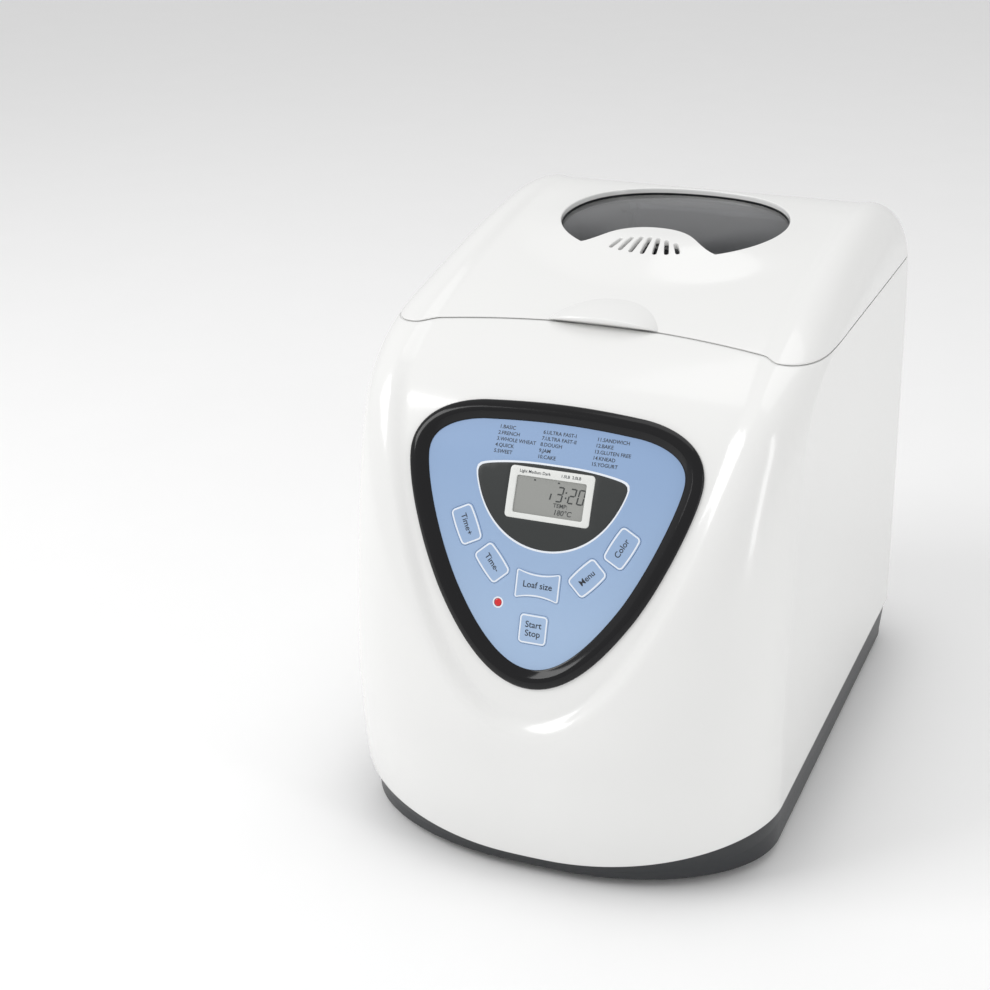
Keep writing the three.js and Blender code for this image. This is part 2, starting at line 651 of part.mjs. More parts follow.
// ---- control panel ---------------------------------------------------------------------
function addPanel() {
  const bezel = skin(-BEZEL_RISE, -GAP)
    .intersect(panelPrism(shieldOutline(0)))
    .subtract(panelPrism(shieldOutline(BEZEL_RIM)));
  addPart("control_bezel", bezel, BLACK, 0.12, 0);

  let fascia = skin(FASCIA_SINK, FASCIA_SINK + FASCIA_THICK)
    .intersect(panelPrism(shieldOutline(BEZEL_RIM - FASCIA_LAP)))
    .subtract(panelPrism(lensOutline(0)))
    .subtract(panelHole(LED_X, LED_U, LED_R + KEY_CLEARANCE, 12));
  for (const key of KEYS) fascia = fascia.subtract(keyPrism(key, KEY_CLEARANCE));
  addPart("panel_fascia", fascia, BLUE, 0.35, 0);

  for (const key of KEYS) {
    const cap = skin(FASCIA_SINK - 0.3, FASCIA_SINK + KEY_THICK).intersect(keyPrism(key, 0));
    addPart(key.name, cap, BLUE, 0.35, 0);
  }

  const frameHole = roundRect(FRAME_WIDTH / 2 + GAP, FRAME_HEIGHT / 2 + GAP, 2 + GAP);
  const lens = skin(FASCIA_SINK, FASCIA_SINK + FASCIA_THICK)
    .intersect(panelPrism(lensOutline(GAP)))
    .subtract(panelPrism(frameHole, 2));
  addPart("display_lens", lens, CHARCOAL, 0.3, 0);

  const frameOutline = roundRect(FRAME_WIDTH / 2, FRAME_HEIGHT / 2, 2);
  const screenHole = roundRect(SCREEN_WIDTH / 2 + GAP, SCREEN_HEIGHT / 2 + GAP, 1);
  const frame = skin(FASCIA_SINK, FASCIA_SINK + FASCIA_THICK)
    .intersect(panelPrism(frameOutline, 2))
    .subtract(panelPrism(screenHole, 1));
  addPart("display_frame", frame, 0xe6e8e4, 0.4, 0);

  const screen = roundRect(SCREEN_WIDTH / 2, SCREEN_HEIGHT / 2, 0.8);
  const glass = skin(FASCIA_SINK + 0.4, FASCIA_SINK + 2.4).intersect(panelPrism(screen, 1));
  addPart("display_screen", glass, 0x9a9c98, 0.2, 0);

  const place = panelFrame.clone().multiply(move(LED_X, LED_U, 0));
  addPart("indicator_light", skin(0, 5).intersect(rod(LED_R, -40, 30, 12, place)), 0xc81820, 0.3, 0);

  const depth = -FASCIA_SINK - KEY_THICK - KEY_TRAVEL - BUTTON_ROOM;
  const boardPlace = panelFrame.clone().multiply(move(0, BOARD_DROP, 0));
  const boardShape = roundRect(BOARD_HALF_WIDTH, BOARD_HALF_HEIGHT, 3);
  const board = slab(boardShape, depth - BOARD_THICK, depth, boardPlace, 2);
  addPart("control_board", board, BOARD_GREEN, 0.6, 0);
  const moduleShape = roundRect(FRAME_WIDTH / 2 + 3.5, FRAME_HEIGHT / 2 + 4, 1);
  const module = slab(moduleShape, depth + GAP, depth + MODULE_HEIGHT, panelFrame, 1);
  addPart("display_module", module, STEEL, 0.4, 0.6);
}

// ---- lid -------------------------------------------------------------------------------
function lidRegion() {
  const front = block(-HALF - 9, HALF + 9, FRONT - 9, LID_BACK_Y, -9, HEIGHT + 20);
  return seamSide(true, SEAM_GAP).intersect(front);
}

// Raised thumb tab on the lid's front edge: a shallow segment in plan.
function thumbTab() {
  const shape = new THREE.Shape();
  const y = lidFrontY() + 7;
  shape.moveTo(-TAB_HALF_WIDTH, y);
  shape.quadraticCurveTo(-TAB_HALF_WIDTH * 0.55, y - 7 - TAB_REACH, 0, y - 7 - TAB_REACH);
  shape.quadraticCurveTo(TAB_HALF_WIDTH * 0.55, y - 7 - TAB_REACH, TAB_HALF_WIDTH, y);
  return slab(shape, SEAM_Z + SEAM_GAP + 0.4, SEAM_Z + SEAM_GAP + 0.4 + TAB_THICK, undefined, 6);
}

function lidFrontY() {
  for (let i = 0; i <= 400; i++) {
    const p = profileCurve.getPoint(i / 400);
    if (p.y > SEAM_Z + 2) return p.x;
  }
  return 0;
}

function addLid() {
  let lid = skin(0, WALL)
    .intersect(lidRegion())
    .subtract(slab(windowShape(0), CENTRE_Z, HEIGHT + 20, undefined, 6))
    .add(thumbTab());
  for (const cut of slotCuts()) lid = lid.subtract(cut);
  addPart("lid_shell", lid, WHITE, 0.25, 0);

  const glass = skin(WALL + GAP, WALL + GAP + GLASS_THICK).intersect(
    slab(windowShape(GLASS_LAP), CENTRE_Z, HEIGHT + 20, undefined, 6),
  );
  addPart("window_glass", glass, 0x30343a, 0.08, 0);

  const outerRect = roundRect(CHAMBER_HALF_X - 6, CHAMBER_HALF_Y - 2, CHAMBER_CORNER);
  const innerRect = roundRect(
    CHAMBER_HALF_X - 6 - LINER_THICK,
    CHAMBER_HALF_Y - 2 - LINER_THICK,
    CHAMBER_CORNER - LINER_THICK,
  );
  const tall = (shape) => slab(shape, SEAM_Z - 20, HEIGHT + 20, move(0, CHAMBER_Y, 0), 4);
  const opening = slab(windowShape(GLASS_LAP + 3), CENTRE_Z, HEIGHT + 20, undefined, 4);
  const vent = block(-25, 25, WINDOW_Y - WINDOW_HALF_DEPTH - 6, WINDOW_Y, CENTRE_Z, HEIGHT + 20);
  const liner = skin(WALL + GAP, LINER_DEPTH + LINER_THICK)
    .intersect(tall(outerRect))
    .subtract(skin(WALL - 1, LINER_DEPTH).intersect(tall(innerRect)))
    .intersect(lidRegion())
    .subtract(opening)
    .subtract(vent);
  addPart("lid_liner", liner, ALUMINIUM, 0.35, 0.9);
}

// A flat lug in the Y-Z plane: a round eye at the pin joined to a foot.
function lug(points, x) {
  const shape = new THREE.Shape(points.map(([y, z]) => new THREE.Vector2(y, z)));
  const turn = new THREE.Matrix4().makeBasis(
    new THREE.Vector3(0, 1, 0),
    new THREE.Vector3(0, 0, 1),
    new THREE.Vector3(1, 0, 0),
  );
  turn.setPosition(x, 0, 0);
  const pin = new THREE.Matrix4().makeRotationY(Math.PI / 2).setPosition(0, HINGE_AXIS_Y, HINGE_Z);
  return slab(shape, 0, LUG_WIDTH, turn).subtract(rod(HINGE_PIN_R + RUNNING, -HALF, HALF, 16, pin));
}

const EYE_WALL = 2.6; // metal round the pin
const EYE_TAIL = 3; // reach of the lid's eye behind the pin
const ARM_FOOT = 14; // reach of the lid's arm in front of the pin
const BRACKET_SPAN = 34; // how far the fixed bracket runs down the back wall
const BRACKET_STAND = 3.5; // its foot's depth inside the back wall
function addHinges() {
  const eye = HINGE_PIN_R + EYE_WALL;
  for (const [side, name] of [
    [-1, "left"],
    [1, "right"],
  ]) {
    const bodyX = side * HINGE_X - LUG_WIDTH / 2;
    const lidX = bodyX - side * (LUG_WIDTH + GAP * 2);
    const bodyLug = lug(
      [
        [HINGE_AXIS_Y - eye, HINGE_Z - eye],
        [HINGE_AXIS_Y + eye, HINGE_Z - eye - 6],
        [BACK - WALL - BRACKET_STAND, HINGE_Z - BRACKET_SPAN],
        [BACK - WALL - BRACKET_STAND, HINGE_Z - BRACKET_SPAN + 12],
        [HINGE_AXIS_Y + eye, HINGE_Z - eye - 1],
        [HINGE_AXIS_Y + LUG_TRIM - 0.4, HINGE_Z - 1.4],
        [HINGE_AXIS_Y + LUG_TRIM - 1, HINGE_Z + LUG_TRIM - 1],
        [HINGE_AXIS_Y - eye, HINGE_Z + LUG_TRIM - 1],
      ],
      bodyX,
    );
    addPart("hinge_bracket_" + name, bodyLug.intersect(hood(WALL + GAP)), STEEL, 0.4, 0.8);
    const lidLug = lug(
      [
        [HINGE_AXIS_Y - eye, HINGE_Z - eye],
        [HINGE_AXIS_Y + EYE_TAIL, HINGE_Z - eye],
        [HINGE_AXIS_Y + EYE_TAIL, HINGE_Z + eye],
        [HINGE_AXIS_Y - ARM_FOOT, HINGE_Z + 18],
        [HINGE_AXIS_Y - ARM_FOOT, HINGE_Z - 2],
      ],
      lidX,
    );
    addPart("lid_hinge_" + name, lidLug.intersect(hood(WALL + GAP)), STEEL, 0.4, 0.8);
    const low = Math.min(bodyX, lidX) - 1;
    const pin = new THREE.Matrix4().makeRotationY(Math.PI / 2).setPosition(0, HINGE_AXIS_Y, HINGE_Z);
    addPart("hinge_pin_" + name, rod(HINGE_PIN_R, low, low + LUG_WIDTH * 2 + 3, 16, pin), STEEL, 0.3, 0.9);
  }
}

// ---- chamber and chassis ----------------------------------------------------------------
const centred = (z = 0) => move(0, CHAMBER_Y, z);

function addChamber() {
  const outer = roundRect(CHAMBER_HALF_X, CHAMBER_HALF_Y, CHAMBER_CORNER);
  const inner = roundRect(
    CHAMBER_HALF_X - CHAMBER_WALL,
    CHAMBER_HALF_Y - CHAMBER_WALL,
    CHAMBER_CORNER - CHAMBER_WALL,
  );
  const lip = roundRect(
    CHAMBER_HALF_X + CHAMBER_FLANGE,
    CHAMBER_HALF_Y + CHAMBER_FLANGE,
    CHAMBER_CORNER + CHAMBER_FLANGE,
  );
  let chamber = slab(outer, CHAMBER_FLOOR, CHAMBER_MOUTH, centred(), 4)
    .add(slab(lip, CHAMBER_MOUTH - CHAMBER_WALL, CHAMBER_MOUTH, centred(), 4))
    .subtract(slab(inner, CHAMBER_FLOOR + CHAMBER_WALL, CHAMBER_MOUTH + 9, centred(), 4))
    .subtract(rod(BUSH_R + GAP, 0, CENTRE_Z, 20, centred()));
  for (const side of [-1, 1]) {
    const leg = new THREE.Matrix4().makeRotationX(Math.PI / 2);
    leg.setPosition(side * HEATER_LEG_X, CHAMBER_Y - CHAMBER_HALF_Y, HEATER_Z);
    chamber = chamber.subtract(rod(HEATER_R + GAP, -9, 9, 12, leg));
  }
  chamber = chamber.subtract(sensorHole());
  addPart("baking_chamber", chamber, STEEL, 0.4, 0.9);

  const deckZ = CHAMBER_MOUTH + GAP;
  const mouth = slab(inner, CENTRE_Z, HEIGHT, centred(), 4);
  const slabBlock = block(-HALF, HALF, FRONT, HINGE_AXIS_Y - 8, deckZ, deckZ + DECK_THICK);
  addPart("top_deck", hood(WALL + GAP).intersect(slabBlock).subtract(mouth), WHITE, 0.4, 0);
}

const SENSOR_X = 40;
const SENSOR_Z = 110;
const SENSOR_R = 3;
function sensorFrame() {
  const y = CHAMBER_Y - CHAMBER_HALF_Y;
  return new THREE.Matrix4().makeRotationX(Math.PI / 2).setPosition(-SENSOR_X, y, SENSOR_Z);
}
const sensorHole = () => rod(SENSOR_R + GAP, -9, 9, 12, sensorFrame());

function addSensors() {
  const profile = [[0, -8], [SENSOR_R, -8], [SENSOR_R, 0.6], [SENSOR_R + 3, 0.6], [SENSOR_R + 3, 5], [0, 5]];
  addPart("temperature_sensor", turned(profile, 12, sensorFrame()), BRASS, 0.4, 0.8);
  const y = CHAMBER_Y - CHAMBER_HALF_Y - GAP;
  const fuse = block(SENSOR_X - 9, SENSOR_X + 9, y - 5, y, SENSOR_Z - 4, SENSOR_Z + 4);
  addPart("thermal_fuse", fuse, 0xd8d2c4, 0.5, 0);
}

// Sheathed heating loop near the chamber floor, open at the front where its two legs leave.
function addHeater() {
  const hx = CHAMBER_HALF_X - HEATER_INSET;
  const hy = CHAMBER_HALF_Y - HEATER_INSET;
  const front = CHAMBER_Y - hy;
  const back = CHAMBER_Y + hy;
  const leg = CHAMBER_Y - CHAMBER_HALF_Y - HEATER_LEG_LENGTH;
  const path = new THREE.CurvePath();
  const line = (a, b) => path.add(new THREE.LineCurve3(a, b));
  const bend = (a, b, c) => path.add(new THREE.QuadraticBezierCurve3(a, b, c));
  const at = (x, y) => new THREE.Vector3(x, y, HEATER_Z);
  const small = 8;
  const big = HEATER_BEND;
  line(at(HEATER_LEG_X, leg), at(HEATER_LEG_X, front - small));
  bend(at(HEATER_LEG_X, front - small), at(HEATER_LEG_X, front), at(HEATER_LEG_X + small, front));
  line(at(HEATER_LEG_X + small, front), at(hx - big, front));
  bend(at(hx - big, front), at(hx, front), at(hx, front + big));
  line(at(hx, front + big), at(hx, back - big));
  bend(at(hx, back - big), at(hx, back), at(hx - big, back));
  line(at(hx - big, back), at(-hx + big, back));
  bend(at(-hx + big, back), at(-hx, back), at(-hx, back - big));
  line(at(-hx, back - big), at(-hx, front + big));
  bend(at(-hx, front + big), at(-hx, front), at(-hx + big, front));
  line(at(-hx + big, front), at(-HEATER_LEG_X - small, front));
  bend(at(-HEATER_LEG_X - small, front), at(-HEATER_LEG_X, front), at(-HEATER_LEG_X, front - small));
  line(at(-HEATER_LEG_X, front - small), at(-HEATER_LEG_X, leg));
  const section = new THREE.Shape();
  section.absarc(0, 0, HEATER_R, 0, Math.PI * 2);
  const options = { steps: 60, extrudePath: path, curveSegments: 3, bevelEnabled: false };
  addPart("heating_element", toSolid(new THREE.ExtrudeGeometry(section, options)), 0x6a6460, 0.5, 0.7);
}

function addChassis() {
  const low = CHASSIS_Z;
  const high = CHASSIS_Z + CHASSIS_THICK;
  const plate = block(-96, 96, FRONT + 52, CHAMBER_Y + CHAMBER_HALF_Y, low, high)
    .subtract(rod(BUSH_R + GAP, 0, CENTRE_Z, 20, centred()))
    .subtract(rod(MOTOR_SHAFT_R + 3, 0, CENTRE_Z, 16, move(0, MOTOR_Y, 0)));
  addPart("chassis_plate", plate, STEEL, 0.45, 0.8);
  for (const [name, x, y] of [
    ["post_front_left", -76, FRONT + 66],
    ["post_front_right", 76, FRONT + 66],
    ["post_back_left", -84, CHAMBER_Y + CHAMBER_HALF_Y - 10],
    ["post_back_right", 84, CHAMBER_Y + CHAMBER_HALF_Y - 10],
  ]) {
    const bottom = BASE_BOTTOM + BASE_WALL + GAP;
    addPart(name, rod(5, bottom, low - GAP, 12, move(x, y, 0)), BLACK, 0.5, 0);
  }
}

// ---- drive -------------------------------------------------------------------------------
const COUPLING_Z = CHAMBER_FLOOR + CHAMBER_WALL + 3;

function addDrive() {
  const at = centred();
  const bushLow = PULLEY_Z + PULLEY_THICK + 3;
  const bush = turned(
    [
      [SHAFT_R + RUNNING, bushLow],
      [BUSH_R, bushLow],
      [BUSH_R, CHASSIS_Z - 2 - GAP],
      [BUSH_R + 6, CHASSIS_Z - 2 - GAP],
      [BUSH_R + 6, CHASSIS_Z - GAP],
      [BUSH_R, CHASSIS_Z - GAP],
      [BUSH_R, COUPLING_Z - 1.2],
      [SHAFT_R + RUNNING, COUPLING_Z - 1.2],
      [SHAFT_R + RUNNING, bushLow],
    ],
    20,
    at,
  );
  addPart("drive_bearing", bush, BRASS, 0.4, 0.8);
  addPart("drive_shaft", rod(SHAFT_R, PULLEY_Z - 4, COUPLING_Z - GAP, 16, at), STEEL, 0.25, 0.9);
  const pulley = turned(
    [
      [SHAFT_R + GAP, PULLEY_Z],
      [12, PULLEY_Z],
      [12, PULLEY_Z + 3],
      [PULLEY_R - 9, PULLEY_Z + 3],
      [PULLEY_R - 9, PULLEY_Z],
      [PULLEY_R, PULLEY_Z],
      [PULLEY_R, PULLEY_Z + PULLEY_THICK],
      [SHAFT_R + GAP, PULLEY_Z + PULLEY_THICK],
      [SHAFT_R + GAP, PULLEY_Z],
    ],
    32,
    at,
  );
  addPart("large_pulley", pulley, 0x2a2a2c, 0.5, 0);
  const reach = COUPLING_R - 3;
  const dog = block(-reach, reach, CHAMBER_Y - 2, CHAMBER_Y + 2, COUPLING_Z, COUPLING_Z + DOG_LENGTH);
  const dogs = rod(SHAFT_R + 5, COUPLING_Z, COUPLING_Z + 4, 16, at).add(dog);
  addPart("drive_coupling", dogs, STEEL, 0.35, 0.9);

  addPart("drive_belt", beltSolid(), RUBBER, 0.85, 0);

  const motorTop = CHASSIS_Z + CHASSIS_THICK + GAP + MOTOR_HEIGHT;
  const motorLow = CHASSIS_Z + CHASSIS_THICK + GAP;
  const shaftHole = rod(MOTOR_SHAFT_R + RUNNING, 0, motorTop - 6, 16, move(0, MOTOR_Y, 0));
  const can = rod(MOTOR_R, motorLow, motorTop, 32, move(0, MOTOR_Y, 0)).subtract(shaftHole);
  addPart("motor", can, 0x8d9094, 0.45, 0.7);
  const shaft = rod(MOTOR_SHAFT_R, PULLEY_Z - 1, motorTop - 12, 16, move(0, MOTOR_Y, 0));
  addPart("motor_shaft", shaft, STEEL, 0.25, 0.9);
  const inner = MOTOR_SHAFT_R + GAP;
  const hub = ring(inner, MOTOR_PULLEY_R, PULLEY_Z, PULLEY_Z + PULLEY_THICK, 24, move(0, MOTOR_Y, 0));
  addPart("motor_pulley", hub, ALUMINIUM, 0.4, 0.8);
}

// Open belt: outer outline less inner outline, both tangent loops round the two pulleys.
function beltLoop(grow) {
  const span = CHAMBER_Y - MOTOR_Y;
  const big = PULLEY_R + grow;
  const small = MOTOR_PULLEY_R + grow;
  const tilt = Math.asin((big - small) / span);
  const shape = new THREE.Shape();
  shape.absarc(0, span, big, -tilt, Math.PI + tilt);
  shape.absarc(0, 0, small, Math.PI + tilt, Math.PI * 2 - tilt);
  shape.closePath();
  return shape;
}

function beltSolid() {
  const low = PULLEY_Z + (PULLEY_THICK - BELT_WIDTH) / 2;
  const at = move(0, MOTOR_Y, 0);
  return slab(beltLoop(RUNNING + BELT_THICK), low, low + BELT_WIDTH, at, 12).subtract(
    slab(beltLoop(RUNNING), low - 1, low + BELT_WIDTH + 1, at, 12),
  );
}

// ---- pan ----------------------------------------------------------------------------------
function roundRectRing(halfX, halfY, corner, z) {
  const points = roundRect(halfX, halfY, corner).getPoints(5);
  return points.slice(1).map((p) => [p.x, p.y, z]);
}

// A drafted box: narrower at the bottom by the draft.
function draftedBox(inset, low, high, fullLow, fullHigh) {
  const drawIn = (z) => PAN_DRAFT * (1 - (z - fullLow) / (fullHigh - fullLow));
  const section = (z) => {
    const d = inset + drawIn(z);
    return roundRectRing(PAN_HALF_X - d, PAN_HALF_Y - d, PAN_CORNER - inset, z);
  };
  return loft([section(low), section(high)]).translate(0, CHAMBER_Y, 0);
}

function addPan() {
  const at = centred();
  const lip = roundRect(PAN_HALF_X + PAN_RIM_WIDTH, PAN_HALF_Y + PAN_RIM_WIDTH, PAN_CORNER + PAN_RIM_WIDTH);
  const rim = slab(lip, PAN_RIM - 2, PAN_RIM, at, 5);
  let pan = draftedBox(0, PAN_FLOOR, PAN_RIM, PAN_FLOOR, PAN_RIM).add(rim);
  const pivotZ = PAN_RIM + BAIL_ABOVE_RIM;
  for (const side of [-1, 1]) {
    const x = side * (PAN_HALF_X + PAN_RIM_WIDTH / 2);
    const [front, back] = [CHAMBER_Y - PAN_LUG_WIDTH / 2, CHAMBER_Y + PAN_LUG_WIDTH / 2];
    const ear = block(x - 1, x + 1, front, back, PAN_RIM - 1, PAN_RIM + PAN_LUG_HEIGHT);
    pan = pan.add(ear);
  }
  const cross = new THREE.Matrix4().makeRotationY(Math.PI / 2).setPosition(0, CHAMBER_Y, pivotZ);
  pan = pan
    .subtract(draftedBox(PAN_WALL, PAN_FLOOR + PAN_WALL, PAN_RIM + 20, PAN_FLOOR, PAN_RIM))
    .subtract(rod(RIVET_R + RUNNING, -HALF, HALF, 16, cross))
    .subtract(rod(BUSH_R + GAP, 0, CENTRE_Z, 20, at));
  addPart("bread_pan", pan, COATING, 0.4, 0.6);

  const footLow = CHAMBER_FLOOR + CHAMBER_WALL + GAP;
  const footRing = ring(PAN_FOOT_R - PAN_FOOT_WALL, PAN_FOOT_R, footLow, PAN_FLOOR - GAP, 32, at);
  addPart("pan_foot", footRing, ALUMINIUM, 0.4, 0.8);

  const bushLow = COUPLING_Z + DOG_LENGTH + 0.8;
  const bush = turned(
    [
      [SHAFT_R + RUNNING, PAN_FLOOR - 5],
      [BUSH_R + 5, PAN_FLOOR - 5],
      [BUSH_R + 5, PAN_FLOOR - GAP],
      [BUSH_R, PAN_FLOOR - GAP],
      [BUSH_R, PAN_FLOOR + PAN_WALL + 3],
      [SHAFT_R + RUNNING, PAN_FLOOR + PAN_WALL + 3],
      [SHAFT_R + RUNNING, PAN_FLOOR - 5],
    ],
    20,
    at,
  );
  addPart("pan_bearing", bush, BRASS, 0.4, 0.8);
  const shaftTop = PAN_FLOOR + PAN_WALL + 3 + PADDLE_HUB_HEIGHT - 4;
  addPart("paddle_shaft", rod(SHAFT_R, bushLow, shaftTop, 16, at), STEEL, 0.25, 0.9);
  addPanCoupling(bushLow);
  addPaddle();
  addBail(pivotZ);
}

// Wing coupling under the pan: a disc with two pegs that the drive's bar turns.
function addPanCoupling(top) {
  const at = centred();
  const low = COUPLING_Z + 5;
  let wings = ring(SHAFT_R + GAP, COUPLING_R, top, top + 1.6, 20, at);
  for (const side of [-1, 1]) {
    const peg = move(0, CHAMBER_Y + side * (COUPLING_R - 4), 0);
    wings = wings.add(rod(2.4, low, top + 0.5, 12, peg));
  }
  addPart("pan_coupling", wings, STEEL, 0.35, 0.9);
}

function addPaddle() {
  const at = centred();
  const low = PAN_FLOOR + PAN_WALL + 4;
  const high = low + PADDLE_HUB_HEIGHT;
  const blade = new THREE.Shape();
  blade.moveTo(0, low);
  blade.lineTo(PADDLE_REACH - 6, low);
  blade.quadraticCurveTo(PADDLE_REACH, low, PADDLE_REACH, low + 7);
  blade.quadraticCurveTo(PADDLE_REACH - 4, low + 20, PADDLE_REACH - 14, low + 30);
  blade.quadraticCurveTo(12, low + 36, 0, high);
  const bladeBack = CHAMBER_Y + PADDLE_THICK / 2;
  const upright = new THREE.Matrix4().makeRotationX(Math.PI / 2).setPosition(0, bladeBack, 0);
  const socket = rod(SHAFT_R + GAP, 0, high - 3, 16, at);
  const paddle = turned(
    [
      [0, low],
      [PADDLE_HUB_R, low],
      [PADDLE_HUB_R - 1, high],
      [0, high],
    ],
    20,
    at,
  )
    .add(slab(blade, 0, PADDLE_THICK, upright, 4))
    .subtract(socket);
  addPart("kneading_paddle", paddle, COATING, 0.4, 0.5);
}

// Wire bail, folded towards the back, with an inward pivot at each end.
function addBail(z) {
  const x = PAN_HALF_X + PAN_RIM_WIDTH / 2 - 5;
  const back = CHAMBER_Y + BAIL_REACH;
  const bend = 22;
  const path = new THREE.CurvePath();
  const at = (px, py) => new THREE.Vector3(px, py, z);
  path.add(new THREE.LineCurve3(at(-x, CHAMBER_Y - 4), at(-x, back - bend)));
  path.add(new THREE.QuadraticBezierCurve3(at(-x, back - bend), at(-x, back), at(-x + bend, back)));
  path.add(new THREE.LineCurve3(at(-x + bend, back), at(x - bend, back)));
  path.add(new THREE.QuadraticBezierCurve3(at(x - bend, back), at(x, back), at(x, back - bend)));
  path.add(new THREE.LineCurve3(at(x, back - bend), at(x, CHAMBER_Y - 4)));
  const section = new THREE.Shape();
  section.absarc(0, 0, BAIL_R, 0, Math.PI * 2);
  const options = { steps: 36, extrudePath: path, curveSegments: 3, bevelEnabled: false };
  const cross = new THREE.Matrix4().makeRotationY(Math.PI / 2).setPosition(0, CHAMBER_Y, z);
  const wire = toSolid(new THREE.ExtrudeGeometry(section, options))
    .add(rod(4, -x - 2, -x + 2, 16, cross))
    .add(rod(4, x - 2, x + 2, 16, cross))
    .subtract(rod(RIVET_R + RUNNING, -HALF, HALF, 16, cross));
  addPart("pan_handle", wire, STEEL, 0.3, 0.9);
  for (const [name, side] of [
    ["rivet_left", -1],
    ["rivet_right", 1],
  ]) {
    const turn = new THREE.Matrix4().makeRotationY((side * Math.PI) / 2).setPosition(0, CHAMBER_Y, z);
    const shank = [[0, x - 3.5], [RIVET_R, x - 3.5], [RIVET_R, x + 6.5]];
    const profile = [...shank, [4, x + 6.5], [4, x + 8], [0, x + 8]];
    addPart(name, turned(profile, 16, turn), STEEL, 0.3, 0.9);
  }
}

// ---- electronics -----------------------------------------------------------------------
function addPower() {
  const z = CHASSIS_Z + CHASSIS_THICK + 4;
  const board = block(46, 94, FRONT + 60, FRONT + 128, z, z + BOARD_THICK);
  addPart("power_board", board, BOARD_GREEN, 0.6, 0);
  const low = z + BOARD_THICK + GAP;
  addPart("transformer", block(54, 86, FRONT + 66, FRONT + 94, low, low + 26), 0x3a3c40, 0.5, 0.3);
}

addBodyShell();
addBase();
addGland();
addPanel();
addLid();
addHinges();
addChamber();
addSensors();
addHeater();
addChassis();
addDrive();
addPan();
addPower();

export default machine;
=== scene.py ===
"""Bread machine: white casing with a blue control panel, windowed lid and lift-out pan.

Shapes are worked out in millimetres, in the part's own frame (+Z up, front towards -Y),
and scaled to metres as each mesh is made.
"""

import math

import bmesh
import bpy
import numpy as np
from mathutils import Matrix, Vector
from mathutils.geometry import delaunay_2d_cdt
from mathutils.kdtree import KDTree


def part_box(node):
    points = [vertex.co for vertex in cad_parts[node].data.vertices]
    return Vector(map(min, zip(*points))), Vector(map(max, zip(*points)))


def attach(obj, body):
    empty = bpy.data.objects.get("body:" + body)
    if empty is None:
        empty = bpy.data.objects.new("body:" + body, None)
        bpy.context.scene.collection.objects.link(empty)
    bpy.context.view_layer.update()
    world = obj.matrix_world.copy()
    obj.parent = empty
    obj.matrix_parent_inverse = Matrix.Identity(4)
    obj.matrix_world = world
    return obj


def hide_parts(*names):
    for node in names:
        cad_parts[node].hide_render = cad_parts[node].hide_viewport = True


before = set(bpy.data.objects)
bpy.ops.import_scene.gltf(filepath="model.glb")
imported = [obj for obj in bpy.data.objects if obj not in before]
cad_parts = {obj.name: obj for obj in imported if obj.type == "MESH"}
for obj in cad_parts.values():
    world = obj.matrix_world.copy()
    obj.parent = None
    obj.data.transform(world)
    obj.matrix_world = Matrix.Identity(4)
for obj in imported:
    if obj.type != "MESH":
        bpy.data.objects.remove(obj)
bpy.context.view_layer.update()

MM = 0.001
TAU = math.tau


def node_box(node):
    """Lowest and highest corner of a CAD node, in millimetres."""
    return [np.array(corner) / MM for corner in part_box(node)]


# ---- driving dimensions ------------------------------------------------------------
WIDTH, DEPTH, HEIGHT = 236, 346, 298
WALL = 3
GAP = 0.4  # between pieces that seat on each other
SEAM_DROP_FROM_TOP = 34  # lid seam at the middle, below the lid's top
SEAM_ARCH = 5.4
SEAM_GAP = 0.5
SEAM_ROUND = 0.45  # rounding of the two edges along the seam
HINGE_SETBACK = 12.4
LID_BACK = node_box("lid_shell")[1][1]
SHIELD_FOOT = 87
SHIELD_HALF_WIDTH = 97.5
SHIELD_EDGE = 9
SKIRT_Z = 13  # white casing's lower edge at the middle of the front
SKIRT_ARCH = 17  # how much higher it is at the flanks
SKIRT_TAPER = 3
BASE_INSET = 0.8  # black skirt inside the casing's outer face
BASE_WALL = 2.6
BASE_TAPER = 10
BASE_SHOULDER = 26  # height of the tray's tapered part
BASE_ROUND = 2  # of the tray's lower edge
FRONT_LEAN_IN = 5.5  # the casing's own draw-in near its foot

PANEL_LEAN = math.radians(22)
PANEL_DROP_FROM_TOP = 98
PANEL_SETBACK = 44.75
BEZEL_HALF_WIDTH, BEZEL_TOP, BEZEL_TIP = 77.5, 45.3, -96.5
BEZEL_RIM = 9.7
BEZEL_RISE = 2.2
FASCIA_LAP = 4
FASCIA_SINK = 0.8
LENS_HALF_WIDTH, LENS_TOP, LENS_BOTTOM = 41, 15, -27.3
FRAME_SIZE = (45, 26)
SCREEN_SIZE = (37, 18.5)
LED_PLACE = (-20.4, -56)
LED_R = 2

CHAMBER_SETBACK = 117
WINDOW_BEHIND = 6  # window centre behind the chamber centre
WINDOW_HALF_WIDTH, WINDOW_HALF_DEPTH = 65, 57
WINDOW_CORNER_X = 38
WINDOW_ARCH_RISE = 21
WINDOW_RAISE = 10  # how far the lid swells at the window's front
SWELL_HALF_WIDTH, SWELL_HALF_DEPTH = 92, 76
SWELL_STEEPNESS = 1.66
SWELL_FADE_FROM, SWELL_FADE = 60, 130  # behind the chamber centre, and over what depth
SLOT_COUNT, SLOT_PITCH, SLOT_WIDTH, SLOT_LENGTH = 7, 5.8, 2.5, 15
SLOT_SHORTEN = 0.32  # taken off both ends, by the square of the place from the middle
SLOT_SETBACK = 9  # slot centres behind the window's front
SLOT_FAN = math.radians(9)
GLASS_LAP = 5
GLASS_THICK = 3
CUTTER_RISE = 14  # how far a cutter stands over the domed lid

